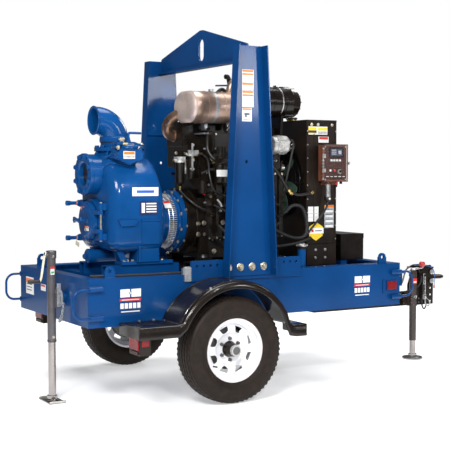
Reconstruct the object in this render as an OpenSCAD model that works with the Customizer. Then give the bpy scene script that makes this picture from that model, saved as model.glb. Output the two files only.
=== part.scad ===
// Trailer-mounted self-priming trash pump with an industrial engine.
// X runs along the trailer from the pump end to the hitch, Y across it, Z up.
// Each module is drawn from the rear face of the frame and moved by on_trailer(),
// so that the finished part stands on the ground, centred on its own length and width.

/* [Frame] */
// Length of the trailer frame
frame_l = 2448; // [2400:1:2500]
// Half of the frame's width, to the outer face of a side beam
frame_hw = 606; // [600:1:612]
// Height of the top of the side beams above the ground
frame_top = 819; // [815:1:825]
// Depth of a frame beam
beam_h = 303; // [295:1:305]
// Width of a frame beam
beam_w = 100; // [90:1:105]
// Plate thickness of the beams
beam_t = 8; // [6:1:10]

/* [Wheels] */
// Distance of the axle from the rear face of the frame
axle_x = 898; // [880:1:920]
// Outer radius of a tyre, for size ST205/75R15
tyre_r = 344; // [335:1:350]
// Section width of a tyre
tyre_w = 203; // [195:1:210]
// Bead seat radius of the 15 inch rim
rim_r = 190.5; // [188:0.5:192]
// Distance of a wheel's centre plane from the centre line
wheel_y = 787; // [782:1:795]

/* [Lifting frame] */
// Middle of the lifting frame along the trailer
bail_x = 1138; // [1130:1:1145]
// Height of the top of the uprights
upright_top = 2312; // [2290:1:2330]
// Height of the bail plate's peak
bail_top = 2480; // [2450:1:2500]
// Half width of an upright at its foot
upright_hw0 = 190; // [180:1:200]
// Half width of an upright at its top
upright_hw1 = 110; // [100:1:120]
// Depth of an upright's flanges
upright_d = 80; // [70:1:85]

/* [Pump] */
// Height of the shaft shared by pump and engine
shaft_z = 1140; // [1135:1:1145]
// Height of the suction port's centre
suction_z = 1465; // [1460:1:1470]
// Bore radius of the 6 inch suction port
suction_r = 76.2; // [74:0.1:78]
// Outer radius of the 6 inch pipe flange
flange_r = 140; // [139:1:143]
// Bolt circle diameter of the suction flange
flange_pcd = 241.3; // [238:0.1:244]
// Half width of the pump casing
casing_hw = 262; // [255:1:268]
// Thickness of the casing wall
casing_t = 14; // [12:1:16]
// Distance of the discharge axis from the rear face of the frame
discharge_x = 460; // [455:1:465]
// Outer radius of the discharge elbow
elbow_r = 93; // [90:1:95]
// Bore radius of the discharge elbow
elbow_bore_r = 81; // [79:1:83]

/* [Engine] */
// Plane where the engine meets the pump's bracket
engine_x0 = 902; // [902:1:902]
// Length of the engine block
block_l = 790; // [780:1:800]
// Rear plane of the radiator frame
rad_x = 1832; // [1830:1:1840]
// Half width of the radiator
rad_hw = 300; // [295:1:305]
// Height of the radiator's top
rad_top = 1855; // [1850:1:1860]

/* [Jacks] */
// Distance of the rear jack behind the frame
rjack_x = -80; // [-83:1:-78]
// Rear jack's place across the frame
rjack_y = -197; // [-205:1:-190]
// Height of the rear jack's swivel
rjack_z = 670; // [665:1:675]
// Front jack's place along the trailer
fjack_x = 2968; // [2965:1:2972]
// Front jack's place across the trailer
fjack_y = -138; // [-142:1:-136]
// Height of the front jack's swivel
fjack_z = 465; // [462:1:468]
// Outer radius of a jack's fixed tube
jack_r = 28.5; // [28:0.1:29]

/* [Hidden] */
$fn = 48;

frame_bot = frame_top - beam_h;
inner_y = frame_hw - beam_w;

// Ends of the whole part, which set its origin
x_front = 3383;
crank_reach = 160;
x_rear = rjack_x - crank_reach;
x_mid = (x_front + x_rear) / 2;

blue = "steelblue";
black = "dimgray";
steel = "silver";

// ---- shared shapes ----

module on_trailer() translate([-x_mid, 0, 0]) children();

// Cylinder lying along X, from x0 for length l
module rod_x(x0, l, r, y = 0, z = 0) translate([x0, y, z]) rotate([0, 90, 0]) cylinder(h = l, r = r);

// Cylinder lying along Y, from y0 for length l
module rod_y(y0, l, r, x = 0, z = 0) translate([x, y0, z]) rotate([-90, 0, 0]) cylinder(h = l, r = r);

module rod_z(z0, l, r, x = 0, y = 0) translate([x, y, z0]) cylinder(h = l, r = r);

// Box given by its low corner and high corner
module block(lo, hi) translate(lo) cube(hi - lo);

// Draws its children on both sides of the centre line
module both_sides() {
    children();
    mirror([0, 1, 0]) children();
}

// Plate outline in X and Z, extruded from y0 towards +Y
module plate_xz(y0, t) translate([0, y0 + t, 0]) rotate([90, 0, 0]) linear_extrude(t) children();

// Outline in Y and Z, extruded from x0 towards +X
module plate_yz(x0, t) translate([x0, 0, 0]) rotate([90, 0, 90]) linear_extrude(t) children();

// Hexagon bolt head that stands out along -X from plane x0
module bolt_x(x0, y, z, r = 12, h = 10) {
    translate([x0 - h, y, z]) rotate([0, 90, 0]) cylinder(h = h, r = r, $fn = 6);
}

// Direction, smoothing and turning of a path for swept()
function unit(v) = v / norm(v);
function tangent(p, i) =
    unit(i == 0 ? p[1] - p[0] : i == len(p) - 1 ? p[i] - p[i - 1] : p[i + 1] - p[i - 1]);
function smooth(p, n = 4) = [
    for (i = [0 : len(p) - 2], k = [0 : n - 1])
        let (a = p[max(i - 1, 0)], b = p[i], c = p[i + 1], d = p[min(i + 2, len(p) - 1)], t = k / n)
        0.5 * (2 * b + (c - a) * t + (2 * a - 5 * b + 4 * c - d) * t * t
               + (3 * b - a - 3 * c + d) * t * t * t),
    p[len(p) - 1]
];
function side_of(t, s) = unit(cross(cross(t, s), t));
function frames(p, i = 0, s = undef) =
    i == len(p) ? [] :
    let (t = tangent(p, i),
         ref = is_undef(s) ? (abs(t[2]) < 0.8 ? [0, 0, 1] : [1, 0, 0]) : s,
         u = side_of(t, ref))
    concat([[t, u]], frames(p, i + 1, u));

// Round bar swept along a list of points
module swept(points, r, sides = 8) {
    f = frames(points);
    rings = [for (i = [0 : len(points) - 1], k = [0 : sides - 1])
        let (a = 360 * k / sides, u = f[i][1], v = cross(f[i][0], u))
        points[i] + r * (cos(a) * u + sin(a) * v)];
    last = (len(points) - 1) * sides;
    walls = [for (i = [0 : len(points) - 2], k = [0 : sides - 1])
        let (a = i * sides + k, b = i * sides + (k + 1) % sides)
        [b, a, a + sides, b + sides]];
    caps = [[for (k = [0 : sides - 1]) k], [for (k = [sides - 1 : -1 : 0]) last + k]];
    polyhedron(rings, concat(walls, caps), convexity = 4);
}

// ---- trailer frame ----

lug_x = [152, frame_l - 152];
lug_hole_r = 13;
lug_hole_z = frame_top + 46;
loop_z = [577, 756];
socket_l = 92;

// Side channel with its open side inwards, and its tie-down lugs and loop sockets
module side_beam() {
    difference() {
        block([0, -frame_hw, frame_bot], [frame_l, -inner_y, frame_top]);
        block([beam_t, beam_t - frame_hw, frame_bot + beam_t],
              [frame_l - beam_t, 1 - inner_y, frame_top - beam_t]);
    }
    for (x = lug_x) difference() {
        union() {
            block([x - 35, -frame_hw + 10, frame_top], [x + 35, -frame_hw + 26, frame_top + 46]);
            rod_y(-frame_hw + 10, 16, 30, x, lug_hole_z);
        }
        rod_y(-frame_hw, 40, lug_hole_r, x, lug_hole_z);
    }
    for (x = [0, frame_l - socket_l], z = loop_z) rod_x(x, socket_l, 17, -frame_hw - 14, z);
}

module side_beams() color(blue) on_trailer() both_sides() difference() {
    side_beam();
    for (x = [-1, frame_l - socket_l - 1], z = loop_z)
        rod_x(x, socket_l + 2, loop_rod_r + 0.5, -frame_hw - 14, z);
}

member_x = [330, 760, 1180, 1606, 1960, 2250];

module cross_beams() color(blue) on_trailer() {
    difference() {
        block([0, -inner_y, frame_bot], [80, inner_y, frame_top]);
        block([beam_t, beam_t - inner_y, frame_bot + beam_t], [81, inner_y - beam_t, frame_top - beam_t]);
    }
    difference() {
        block([frame_l - 80, -inner_y, frame_bot], [frame_l, inner_y, frame_top]);
        block([frame_l - 81, beam_t - inner_y, frame_bot + beam_t],
              [frame_l - beam_t, inner_y - beam_t, frame_top - beam_t]);
    }
    for (x = member_x) difference() {
        block([x - 40, -inner_y, 704], [x + 40, inner_y, 784]);
        block([x - 34, -inner_y - 1, 703], [x + 34, inner_y + 1, 778]);
    }
    block([2222, -190, 784], [2280, 190, frame_top]);
    for (y = [-230, 150]) difference() {
        block([290, y, 784], [830, y + 80, 862]);
        block([289, y + 8, 783], [831, y + 72, 854]);
    }
    difference() {
        rod_x(-22, 22, 40, rjack_y, rjack_z);
        rod_x(-23, 19, 28, rjack_y, rjack_z);
    }
}

neck_x = 1680;
neck_y = -468;
neck_r = 27;

module fuel_tank() color(blue) on_trailer() difference() {
    union() {
        block([1010, -500, 540], [2300, 500, 700]);
        rod_z(690, 266, neck_r, neck_x, neck_y);
        rod_z(940, 14, 34, neck_x, neck_y);
    }
    block([1016, -494, 546], [2294, 494, 694]);
    rod_z(692, 280, neck_r - 4, neck_x, neck_y);
}

module fuel_cap() color(steel) on_trailer() {
    rod_z(957, 16, 37, neck_x, neck_y);
    for (a = [0 : 60 : 300]) translate([neck_x, neck_y, 957]) rotate(a)
        translate([35, -5, 0]) cube([6, 10, 14]);
    rod_z(945, 12, neck_r - 4.6, neck_x, neck_y);
}

tongue_hw = 51;
tongue_z0 = 413;
tongue_x0 = 2080;
tongue_x1 = 3180;

module tongue() color(black) on_trailer() {
    difference() {
        block([tongue_x0, -tongue_hw, tongue_z0], [tongue_x1, tongue_hw, frame_bot]);
        block([tongue_x0 - 1, 6 - tongue_hw, tongue_z0 + 6], [tongue_x1 - 140, tongue_hw - 6, frame_bot - 6]);
    }
    difference() {
        rod_y(-tongue_hw - 16, 16, 44, fjack_x, fjack_z);
        rod_y(-tongue_hw - 17, 10, 16, fjack_x, fjack_z);
    }
}

hitch_x0 = 3075;
hitch_x1 = 3243;
hitch_hole_z = [434, 487, 540];

module hitch_bracket() color(black) on_trailer() difference() {
    union() {
        for (s = [-1, 1]) plate_xz(s * 56 - 5, 10)
            polygon([[hitch_x0, 411], [hitch_x1, 411], [hitch_x1, 690], [hitch_x1 - 26, 727],
                     [hitch_x0 + 55, 727], [hitch_x0 + 45, 690], [hitch_x0, 560]]);
        block([3182, -51, 411], [3192, 51, 727]);
        rod_y(-100, 42, 4.5, chain_x, chain_z);
        rod_y(-104, 5, 11, chain_x, chain_z);
    }
    for (z = hitch_hole_z) rod_y(-70, 140, 10, hitch_x1 - 26, z);
    for (z = eye_bolt_z) rod_y(-70, 140, 10.2, hitch_x1 - 26, z);
}

eye_r = 38.1;
eye_x = x_front - eye_r - 27.9;
eye_z = 625;

eye_bolt_z = [600, 672];

module lunette_eye() color(black) on_trailer() {
    translate([eye_x, 0, eye_z]) rotate_extrude() {
        translate([eye_r + 14, 0]) circle(13.9);
        translate([eye_r, -9]) square([14, 18]);
    }
    for (z = eye_bolt_z) {
        rod_y(-66, 132, 10, hitch_x1 - 26, z);
        for (s = [-1, 1]) translate([hitch_x1 - 26, s * 61.5, z]) rotate([s * -90, 0, 0])
            cylinder(h = 12, r = 16, $fn = 6);
    }
    difference() {
        block([3193, -50, 575], [3235, 50, 700]);
        block([3202, -40, 574], [3236, 40, 701]);
    }
    block([3196, -20, eye_z - 14], [eye_x - 50, 20, eye_z + 14]);
}

link_pitch = 26;
chain_x = 3134;
chain_y = -83;
chain_z = 650;

// Chain of six links and a hook, hanging beside the hitch bracket
module safety_chain() color(steel) on_trailer() {
    translate([chain_x, chain_y, chain_z - 7.5]) for (i = [0 : 5])
        translate([0, 0, -i * link_pitch]) rotate(90 * (i % 2)) chain_link();
    translate([chain_x, chain_y, chain_z - 7.5 - 5 * link_pitch - 36]) rotate([90, 0, 0])
        translate([0, 0, -5]) linear_extrude(10) difference() {
            circle(22);
            circle(12);
            translate([6, -3]) square([20, 14]);
        }
}

module chain_link() rotate([90, 0, 0]) {
    for (s = [-1, 1]) translate([s * 9, 0, 0]) rotate([90, 0, 0])
        translate([0, 0, -9]) cylinder(h = 18, r = 4, $fn = 16);
    for (s = [0, 180]) translate([0, s == 0 ? 9 : -9, 0]) rotate(s)
        rotate_extrude(angle = 180, $fn = 24) translate([9, 0]) circle(4, $fn = 16);
}

spindle_r = 20;

module axle() color(black) on_trailer() {
    difference() {
        block([1010, -600, 430], [1090, 600, 510]);
        block([1018, -601, 438], [1082, 601, 502]);
    }
    both_sides() {
        for (x = [1020, 1070]) block([x, -560, 509], [x + 12, -520, 516]);
        plate_xz(-634, 34) hull() {
            translate([1050, 470]) circle(45.5);
            translate([axle_x, tyre_r]) circle(36);
        }
        rod_y(-812, 180, spindle_r, axle_x, tyre_r);
    }
}

fender_r = 446;
fender_t = 6;
fender_y0 = -902;
fender_y1 = -621;
step_rear_z = 543;
step_front_z = 484;
fender_a0 = 27;
fender_a1 = 147;

// Outline of a fender: an arch with a flat step at both ends
module fender_outline(depth) {
    intersection() {
        translate([axle_x, tyre_r]) difference() {
            circle(fender_r, $fn = 96);
            circle(fender_r - depth, $fn = 96);
        }
        polygon([[axle_x, tyre_r], [axle_x + 700 * cos(fender_a0), tyre_r + 700 * sin(fender_a0)],
                 [axle_x + 700, tyre_r + 900], [axle_x - 700, tyre_r + 900],
                 [axle_x + 700 * cos(fender_a1), tyre_r + 700 * sin(fender_a1)]]);
    }
    translate([200, step_rear_z - depth]) square([316 + depth * 0.6, depth]);
    translate([1304 - depth * 0.6, step_front_z - depth]) square([122 + depth * 0.6, depth]);
}

module fenders() color(black) on_trailer() both_sides() {
    plate_xz(fender_y0, fender_y1 - fender_y0) fender_outline(fender_t);
    plate_xz(fender_y0 - 4, 6) fender_outline(40);
    block([300, -622, step_rear_z - fender_t], [460, -frame_hw, step_rear_z]);
    block([1330, -622, step_front_z - fender_t], [1400, -frame_hw, 600]);
}

// ---- wheels ----

module tyre_profile() {
    hull() {
        translate([tyre_r - 24, -(tyre_w / 2 - 36)]) circle(24);
        translate([tyre_r - 24, tyre_w / 2 - 36]) circle(24);
        translate([rim_r + 62, -(tyre_w / 2 - 42)]) circle(42);
        translate([rim_r + 62, tyre_w / 2 - 42]) circle(42);
        translate([rim_r + 6, -69]) square([10, 138]);
    }
}

module tyre() rotate([90, 0, 0]) rotate_extrude($fn = 96) difference() {
    tyre_profile();
    translate([rim_r - 40, -61]) square([62, 122]);
    translate([rim_r + 60, 0]) hull() {
        translate([40, -50]) circle(28);
        translate([40, 50]) circle(28);
        translate([-6, -48]) circle(30);
        translate([-6, 48]) circle(30);
    }
    translate([rim_r - 60, -90]) square([60 + 0.5, 180]);
}

module wheel_tyre(side) on_trailer() translate([axle_x, side * wheel_y, tyre_r]) tyre();
module tyre_near() color("darkslategray") wheel_tyre(-1);
module tyre_far() color("darkslategray") wheel_tyre(1);

stud_circle = 69.85;
stud_count = 6;

// Rim, disc, hub, studs and nuts, with the outer side towards -Y
module wheel() {
    rotate([90, 0, 0]) rotate_extrude($fn = 96) {
        polygon([[rim_r, -68], [rim_r + 18, -72], [rim_r + 18, -76], [rim_r - 5, -74], [rim_r - 5, -50],
                 [rim_r - 25, -34], [rim_r - 25, 18], [rim_r - 5, 40], [rim_r - 5, 74],
                 [rim_r + 18, 76], [rim_r + 18, 72], [rim_r, 68], [rim_r, 36], [rim_r - 20, 15],
                 [rim_r - 20, -31], [rim_r, -47]]);
    }
    rotate([90, 0, 0]) difference() {
        rotate_extrude($fn = 96)
            polygon([[56, 0], [96, 0], [128, 30], [150, 30], [rim_r - 25, 14], [rim_r - 25, 8],
                     [150, 24], [130, 24], [98, -6], [56, -6]]);
        for (a = [0 : 45 : 315]) rotate(a + 22.5) translate([141, 0, -20]) linear_extrude(60)
            intersection() {
                square([32, 46], center = true);
                circle(24);
            }
    }
    difference() {
        union() {
            rod_y(-6, 76, 52);
            rod_y(0, 8, 92);
            rod_y(-78, 80, 42);
        }
        rod_y(-40, 111, spindle_r + 0.05);
    }
    rod_y(-100, 22.5, 33);
    for (a = [0 : 60 : 300]) rotate([0, a, 0]) {
        rod_y(-34, 36, 6.4, stud_circle);
        translate([stud_circle, -8, 0]) rotate([90, 0, 0]) cylinder(h = 20, r = 12, $fn = 6);
    }
}

module wheel_near() color(steel) on_trailer() translate([axle_x, -wheel_y, tyre_r]) wheel();
module wheel_far() color(steel) on_trailer() translate([axle_x, wheel_y, tyre_r]) mirror([0, 1, 0]) wheel();

// ---- corner loops and lamps ----

loop_rod_r = 8;
loop_reach = 104;

// Bent rod with two legs in the sockets, past the end of a side beam
module corner_loop() {
    bend = 60;
    z_mid = (loop_z[0] + loop_z[1]) / 2;
    half = (loop_z[1] - loop_z[0]) / 2;
    for (z = loop_z) rod_x(-(loop_reach - bend), loop_reach - bend + socket_l, loop_rod_r, 0, z);
    for (s = [-1, 1]) translate([-(loop_reach - bend), 0, z_mid + s * (half - bend)]) rotate([90, 0, 0])
        rotate(s > 0 ? 90 : 180) rotate_extrude(angle = 90) translate([bend, 0]) circle(loop_rod_r);
    rod_z(z_mid - half + bend, 2 * (half - bend), loop_rod_r, -loop_reach, 0);
}

module corner_loops() color("navy") on_trailer() both_sides() translate([0, -frame_hw - 14, 0]) {
    corner_loop();
    translate([frame_l, 0, 0]) mirror([1, 0, 0]) corner_loop();
}

module lamps() color("firebrick") on_trailer() both_sides() {
    block([206, -890, 380], [290, -740, 500]);
    block([240, -850, 499], [280, -790, 537]);
    rod_y(-frame_hw - 22, 22, 32, 2372, 660);
    block([2316, -frame_hw - 8, 600], [2332, -frame_hw, 700]);
}

// ---- jacks ----

jack_bore = 25.5;
leg_r = 25;

// Fixed tube of a jack along Z, with a capped top that holds the crank
module jack_tube(z0, z1) {
    difference() {
        union() {
            rod_z(z0, z1 - z0, jack_r);
            rod_z(z1 - 46, 22, jack_r + 4);
        }
        rod_z(z0 - 1, z1 - z0 - 29, jack_bore);
        rod_z(z1 - 31, 40, 10);
    }
}

module jack_leg(top) {
    difference() {
        rod_z(8, top - 8, leg_r);
        rod_z(30, top, leg_r - 4);
    }
    rod_z(6, 34, leg_r + 8);
}

crank_z = 951;

// Rear jack's tube, with its swivel hub and the boss of its side crank
module rear_jack_tube() color(steel) on_trailer() {
    difference() {
        union() {
            rod_z(386, 590, jack_r, rjack_x, rjack_y);
            rod_z(928, 40, jack_r + 4, rjack_x, rjack_y);
            rod_x(rjack_x - 36, 30, 19, rjack_y, crank_z);
            rod_x(-40, 17.5, 52, rjack_y, rjack_z);
            block([rjack_x + 10, rjack_y - 34, rjack_z - 60], [-38, rjack_y + 34, rjack_z + 60]);
        }
        rod_z(385, 545, jack_bore, rjack_x, rjack_y);
        rod_x(rjack_x - 37, 50, 10, rjack_y, crank_z);
    }
    rod_x(-42, 36, 27.95, rjack_y, rjack_z);
}

module rear_jack_leg() color(steel) on_trailer() translate([rjack_x, rjack_y, 0]) {
    jack_leg(720);
    translate([-55, -100, 0]) cube([110, 200, 8]);
}

crank_arm = 170;
crank_lean = 26;

// Crank on a level shaft, with its arm hanging down and its grip pointing rearward
module rear_jack_crank() color("ivory") on_trailer() translate([rjack_x, rjack_y, crank_z]) {
    rod_x(-48, 58, 9.6);
    rod_x(-43, 6.5, 17);
    translate([-44, 0, 0]) rotate([0, 180 + atan(crank_lean / crank_arm), 0])
        cylinder(h = norm([crank_lean, crank_arm]), r = 7);
    translate([-44 - crank_lean, 0, -crank_arm]) sphere(9);
    rod_x(-84, 14, 7.5, 0, -crank_arm);
    rod_x(-crank_reach, crank_reach - 80, 14, 0, -crank_arm);
}

module front_jack_tube() color(steel) on_trailer() {
    translate([fjack_x, fjack_y, 0]) jack_tube(147, 700);
    difference() {
        union() {
            rod_y(-83.5, 16, 50, fjack_x, fjack_z);
            block([fjack_x - 40, -128, fjack_z - 44], [fjack_x + 40, -82, fjack_z + 44]);
        }
        rod_z(140, 540, jack_r - 1, fjack_x, fjack_y);
    }
    rod_y(-104, 43.5, 15.95, fjack_x, fjack_z);
}

module front_jack_leg() color(steel) on_trailer() translate([fjack_x, fjack_y, 0]) {
    jack_leg(470);
    rod_z(0, 10, 80);
}

module front_jack_crank() color("crimson") on_trailer() translate([fjack_x, fjack_y, 700]) {
    rod_z(-28, 52, 9.6);
    rod_z(0.5, 30, 15);
    translate([0, 0, 18]) rotate(8) {
        rod_x(0, 92, 6);
        rod_z(-2, 26, 6, 92, 0);
        rod_z(22, 40, 11, 92, 0);
        rod_z(56, 16, 20, 92, 0);
    }
}

// ---- lifting frame ----

upright_y = frame_hw + 14;
upright_t = 8;
upright_foot = 792;
bail_bot = 2226;
bail_shoulder = 2330;

module bail_plate() color(blue) on_trailer() {
    difference() {
        plate_yz(bail_x - 8, 16) polygon([
            [-upright_y, bail_bot], [upright_y, bail_bot], [upright_y, bail_shoulder - 6],
            [upright_y - 12, bail_shoulder], [18, bail_top], [-18, bail_top],
            [12 - upright_y, bail_shoulder], [-upright_y, bail_shoulder - 6]]);
        for (z = [2300, 2380]) rod_x(bail_x - 20, 40, 38, 0, z);
        block([bail_x - 20, -38, 2300], [bail_x + 20, 38, 2380]);
    }
    block([bail_x - 36, -upright_y, bail_bot - 14], [bail_x + 36, upright_y, bail_bot]);
}

// Outline of an upright's back plate in X and Z
module upright_outline(inset = 0) polygon([
    [bail_x - upright_hw0 + inset, upright_foot], [bail_x + upright_hw0 - inset, upright_foot],
    [bail_x + upright_hw1 - inset, upright_top], [bail_x - upright_hw1 + inset, upright_top]]);

module uprights() color(blue) on_trailer() both_sides() difference() {
    plate_xz(-upright_y - upright_d, upright_d) upright_outline();
    for (z = [-50, 0, 50]) translate([0, 0, z])
        plate_xz(-upright_y - upright_d - 1, upright_d + 1 - upright_t) upright_outline(upright_t + 2);
    rod_y(-upright_y - 20, 40, 10, 1126, 1548);
    for (x = bolt_xs) rod_y(-upright_y - 20, 40, 12.5, x, bolt_z);
}

plate_x0 = 715;
plate_x1 = 1565;
bolt_z = 851;
bolt_xs = [for (i = [-1.5 : 1 : 1.5]) bail_x - 14 + i * 92];
spare_hole_dx = [-380, -330, -280, -230, 290, 340, 390];

module side_plates() color(blue) on_trailer() both_sides() difference() {
    block([plate_x0, -upright_y + 0.5, 770], [plate_x1, -frame_hw, 905]);
    for (dx = spare_hole_dx) rod_y(-upright_y - 5, 40, 9, bail_x + dx, 870);
    for (x = bolt_xs) rod_y(-upright_y - 5, 40, 12.5, x, bolt_z);
}

module frame_bolts() on_trailer() both_sides() for (x = bolt_xs) {
    translate([x, -upright_y - upright_t, bolt_z]) rotate([90, 0, 0]) {
        cylinder(h = 4, r = 25);
        translate([0, 0, 3]) cylinder(h = 16, r = 19, $fn = 6);
    }
    rod_y(-upright_y - upright_t - 1, 40, 12, x, bolt_z);
    rod_y(-frame_hw, 14, 20, x, bolt_z);
}

// ---- pump ----

casing_x0 = 310;
casing_x1 = 694;
casing_top = 1590;
casing_bot = 950;

// Arch-shaped outline of the casing in Y and Z
module casing_outline(inset = 0) {
    r = casing_hw - inset;
    translate([0, casing_top - casing_hw]) circle(r, $fn = 96);
    for (s = [-1, 1]) translate([s * (casing_hw - 70), casing_bot + 70]) circle(70 - inset);
    translate([-r, casing_bot + 70]) square([2 * r, casing_top - casing_hw - casing_bot - 70]);
    translate([-(casing_hw - 70), casing_bot + inset]) square([2 * (casing_hw - 70), 100]);
}

cover_z = 1151;
cover_r = 132;
port_r = 100;
fill_x = 462;
fill_y = -212;
fill_pin_z = 1641;
rear_bore_r = 168;

module pump_casing() color(blue) on_trailer() difference() {
    union() {
        plate_yz(casing_x0, casing_x1 - casing_x0) casing_outline();
        rod_x(262, 60, 122, 0, suction_z);
        rod_x(272, 50, 146, 0, cover_z);
        for (z = [cover_z - 100, cover_z + 100]) block([258, -198, z - 24], [330, -172, z + 24]);
        for (z = [cover_z - 118, cover_z + 118]) block([272, 105, z - 24], [330, 180, z + 24]);
        rod_z(1500, 120, 140, discharge_x, 0);
        rod_z(1400, 236, 62, fill_x, fill_y);
        block([fill_x - 108, fill_y - 16, 1480], [fill_x - 84, fill_y + 16, fill_pin_z + 10]);
        block([fill_x + 84, fill_y - 16, 1480], [fill_x + 108, fill_y + 16, 1648]);
        block([fill_x - 100, fill_y - 16, 1470], [fill_x + 100, fill_y + 16, 1560]);
        rod_x(690, 12, 235, 0, shaft_z);
        for (s = [-1, 1]) block([395, s * 190 - 50, 862], [775, s * 190 + 50, 886]);
        for (s = [-1, 1], x = [420, 616]) block([x, s * 190 - 20, 870], [x + 80, s * 190 + 20, 1010]);
        rod_x(262, 60, 52, 60, 935);
    }
    plate_yz(casing_x0 + casing_t, casing_x1 - casing_x0 - 2 * casing_t) casing_outline(casing_t);
    rod_x(250, 100, port_r, 0, suction_z);
    rod_x(250, 100, 118, 0, cover_z);
    rod_z(1500, 130, 84, discharge_x, 0);
    rod_z(1480, 200, 48, fill_x, fill_y);
    rod_x(650, 60, rear_bore_r, 0, shaft_z);
    for (z = [cover_z - 100, cover_z + 100]) rod_z(z - 30, 60, hinge_pin_r + 0.05, hinge_x, hinge_y);
    rod_y(fill_y - 20, 40, 6.05, fill_x - 96, fill_pin_z);
}

module suction_flange() color(blue) on_trailer() difference() {
    union() {
        rod_x(222, 26, flange_r, 0, suction_z);
        rod_x(247, 14.5, 121, 0, suction_z);
        for (s = [-1, 1]) block([260, s * 22 - 6, suction_z + 79.5], [282, s * 22 + 6, suction_z + 94]);
    }
    rod_x(220, 60, suction_r, 0, suction_z);
    translate([221.9, 0, suction_z]) rotate([0, 90, 0]) cylinder(h = 10, r1 = 86, r2 = suction_r - 0.01);
    for (i = [0 : 7]) rotate_about(suction_z, 22.5 + 45 * i) rod_x(220, 42, 11.1, flange_pcd / 2, 0);
    rod_y(-60, 120, 4.05, 271, suction_z + 88);
}

// Turns its children about the X axis through height z
module rotate_about(z, a) translate([0, 0, z]) rotate([a, 0, 0]) children();

module flap_valve() color(black) on_trailer() {
    rod_x(262, 8, 82, 0, suction_z - 4);
    block([264, -14, suction_z + 70], [276, 14, suction_z + 91]);
    rod_y(-32, 64, 4, 271, suction_z + 88);
}

module discharge_flange() color(blue) on_trailer() difference() {
    union() {
        rod_z(1620, 24, flange_r, discharge_x, 0);
        rod_z(1643, 38, 97, discharge_x, 0);
    }
    rod_z(1600, 110, elbow_bore_r, discharge_x, 0);
    for (i = [0 : 7]) translate([discharge_x, 0, 0]) rotate(22.5 + 45 * i)
        rod_z(1600, 60, 11.1, flange_pcd / 2, 0);
}

elbow_z0 = 1690;
elbow_bend = 136;

module elbow_shape(r) {
    translate([discharge_x - elbow_bend, 0, elbow_z0]) rotate([90, 0, 0])
        rotate_extrude(angle = 90) translate([elbow_bend, 0]) circle(r);
}

module discharge_elbow() color(blue) on_trailer() difference() {
    union() {
        elbow_shape(elbow_r);
        rod_x(discharge_x - elbow_bend - 24, 27, elbow_r + 4, 0, elbow_z0 + elbow_bend);
        rod_z(1681, 32, 104, discharge_x, 0);
    }
    elbow_shape(elbow_bore_r - 0.5);
    rod_x(discharge_x - elbow_bend - 30, 31, elbow_bore_r, 0, elbow_z0 + elbow_bend);
    rod_z(1680, 12, elbow_bore_r, discharge_x, 0);
}

hinge_pin_r = 7;
hinge_x = 272;
hinge_y = -186;

// Clean-out cover with its hinge ears, clamp ears and pull handle
module cleanout_cover() color(blue) on_trailer() difference() {
    union() {
        rod_x(244, 27.5, cover_r, 0, cover_z);
        rod_x(236, 10, cover_r - 26, 0, cover_z);
        for (s = [-1, 1]) {
            block([248, -196, cover_z + s * 62 - 13], [264, -60, cover_z + s * 62 + 13]);
            rod_z(cover_z + s * 62 - 13, 26, 15, hinge_x, hinge_y);
            block([246, 60, cover_z + s * 118 - 20], [268, 150, cover_z + s * 118 + 20]);
        }
        for (s = [-1, 1]) rod_x(178, 60, 9, s * 44, cover_z + 6);
        rod_y(-44, 88, 9, 180, cover_z + 6);
        rod_z(cover_z - 128, 256, hinge_pin_r, hinge_x, hinge_y);
    }
    for (s = [-1, 1]) rod_x(240, 40, 8.1, 122, cover_z + s * 118);
}

// Hand screw with a long round knob
module hand_knob() {
    rod_x(240, 29.5, 8);
    rod_x(228, 17.7, 16);
    rod_x(170, 62, 14);
    rod_x(150, 24, 17);
}

module knob_upper() color(blue) on_trailer() translate([0, 122, cover_z + 118]) hand_knob();
module knob_lower() color(blue) on_trailer() translate([0, 122, cover_z - 118]) hand_knob();

module fill_cover() color(blue) on_trailer() difference() {
    union() {
        rod_z(1637, 14, 66, fill_x, fill_y);
        block([fill_x - 70, fill_y - 14, 1650], [fill_x + 106, fill_y + 14, 1676]);
        block([fill_x - 100, fill_y - 40, 1632], [fill_x - 80, fill_y - 17, 1676]);
        block([fill_x - 100, fill_y + 17, 1632], [fill_x - 80, fill_y + 40, 1676]);
        block([fill_x - 84, fill_y - 40, 1662], [fill_x - 60, fill_y + 40, 1676]);
        rod_y(fill_y - 46, 92, 6, fill_x - 96, fill_pin_z);
    }
    rod_z(1640, 60, 9.05, fill_x, fill_y);
}

module fill_screw() color(blue) on_trailer() {
    rod_z(1652, 86, 9, fill_x, fill_y);
    translate([fill_x, fill_y, 1738]) sphere(9);
    rod_x(fill_x, 88, 8, fill_y, 1738);
    rod_z(1677, 12, 16, fill_x, fill_y);
}

impeller_x = 560;
shaft_r = 30;

module impeller() color(black) on_trailer() difference() {
    union() {
        rod_x(impeller_x + 52, 14, 150, 0, shaft_z);
        rod_x(impeller_x, 66, 48, 0, shaft_z);
        for (a = [0, 120, 240]) rotate_about(shaft_z, a) plate_yz(impeller_x, 56)
            difference() {
                translate([70, 20]) circle(78);
                translate([70, 34]) circle(78);
            }
    }
    rod_x(impeller_x + 8, 80, shaft_r, 0, shaft_z);
}

crank_pulley_r = 95;
belt_x = 1716;

module drive_shaft() color(steel) on_trailer() {
    rod_x(impeller_x + 8, belt_x + 16 - impeller_x - 8, shaft_r, 0, shaft_z);
    rod_x(engine_x0 + 14, 34, 178, 0, shaft_z);
    difference() {
        rod_x(belt_x - 14, 28, crank_pulley_r + 6, 0, shaft_z);
        difference() {
            rod_x(belt_x - 9, 18, crank_pulley_r + 10, 0, shaft_z);
            rod_x(belt_x - 10, 20, crank_pulley_r, 0, shaft_z);
        }
    }
}

ring_r = 214;

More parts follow.
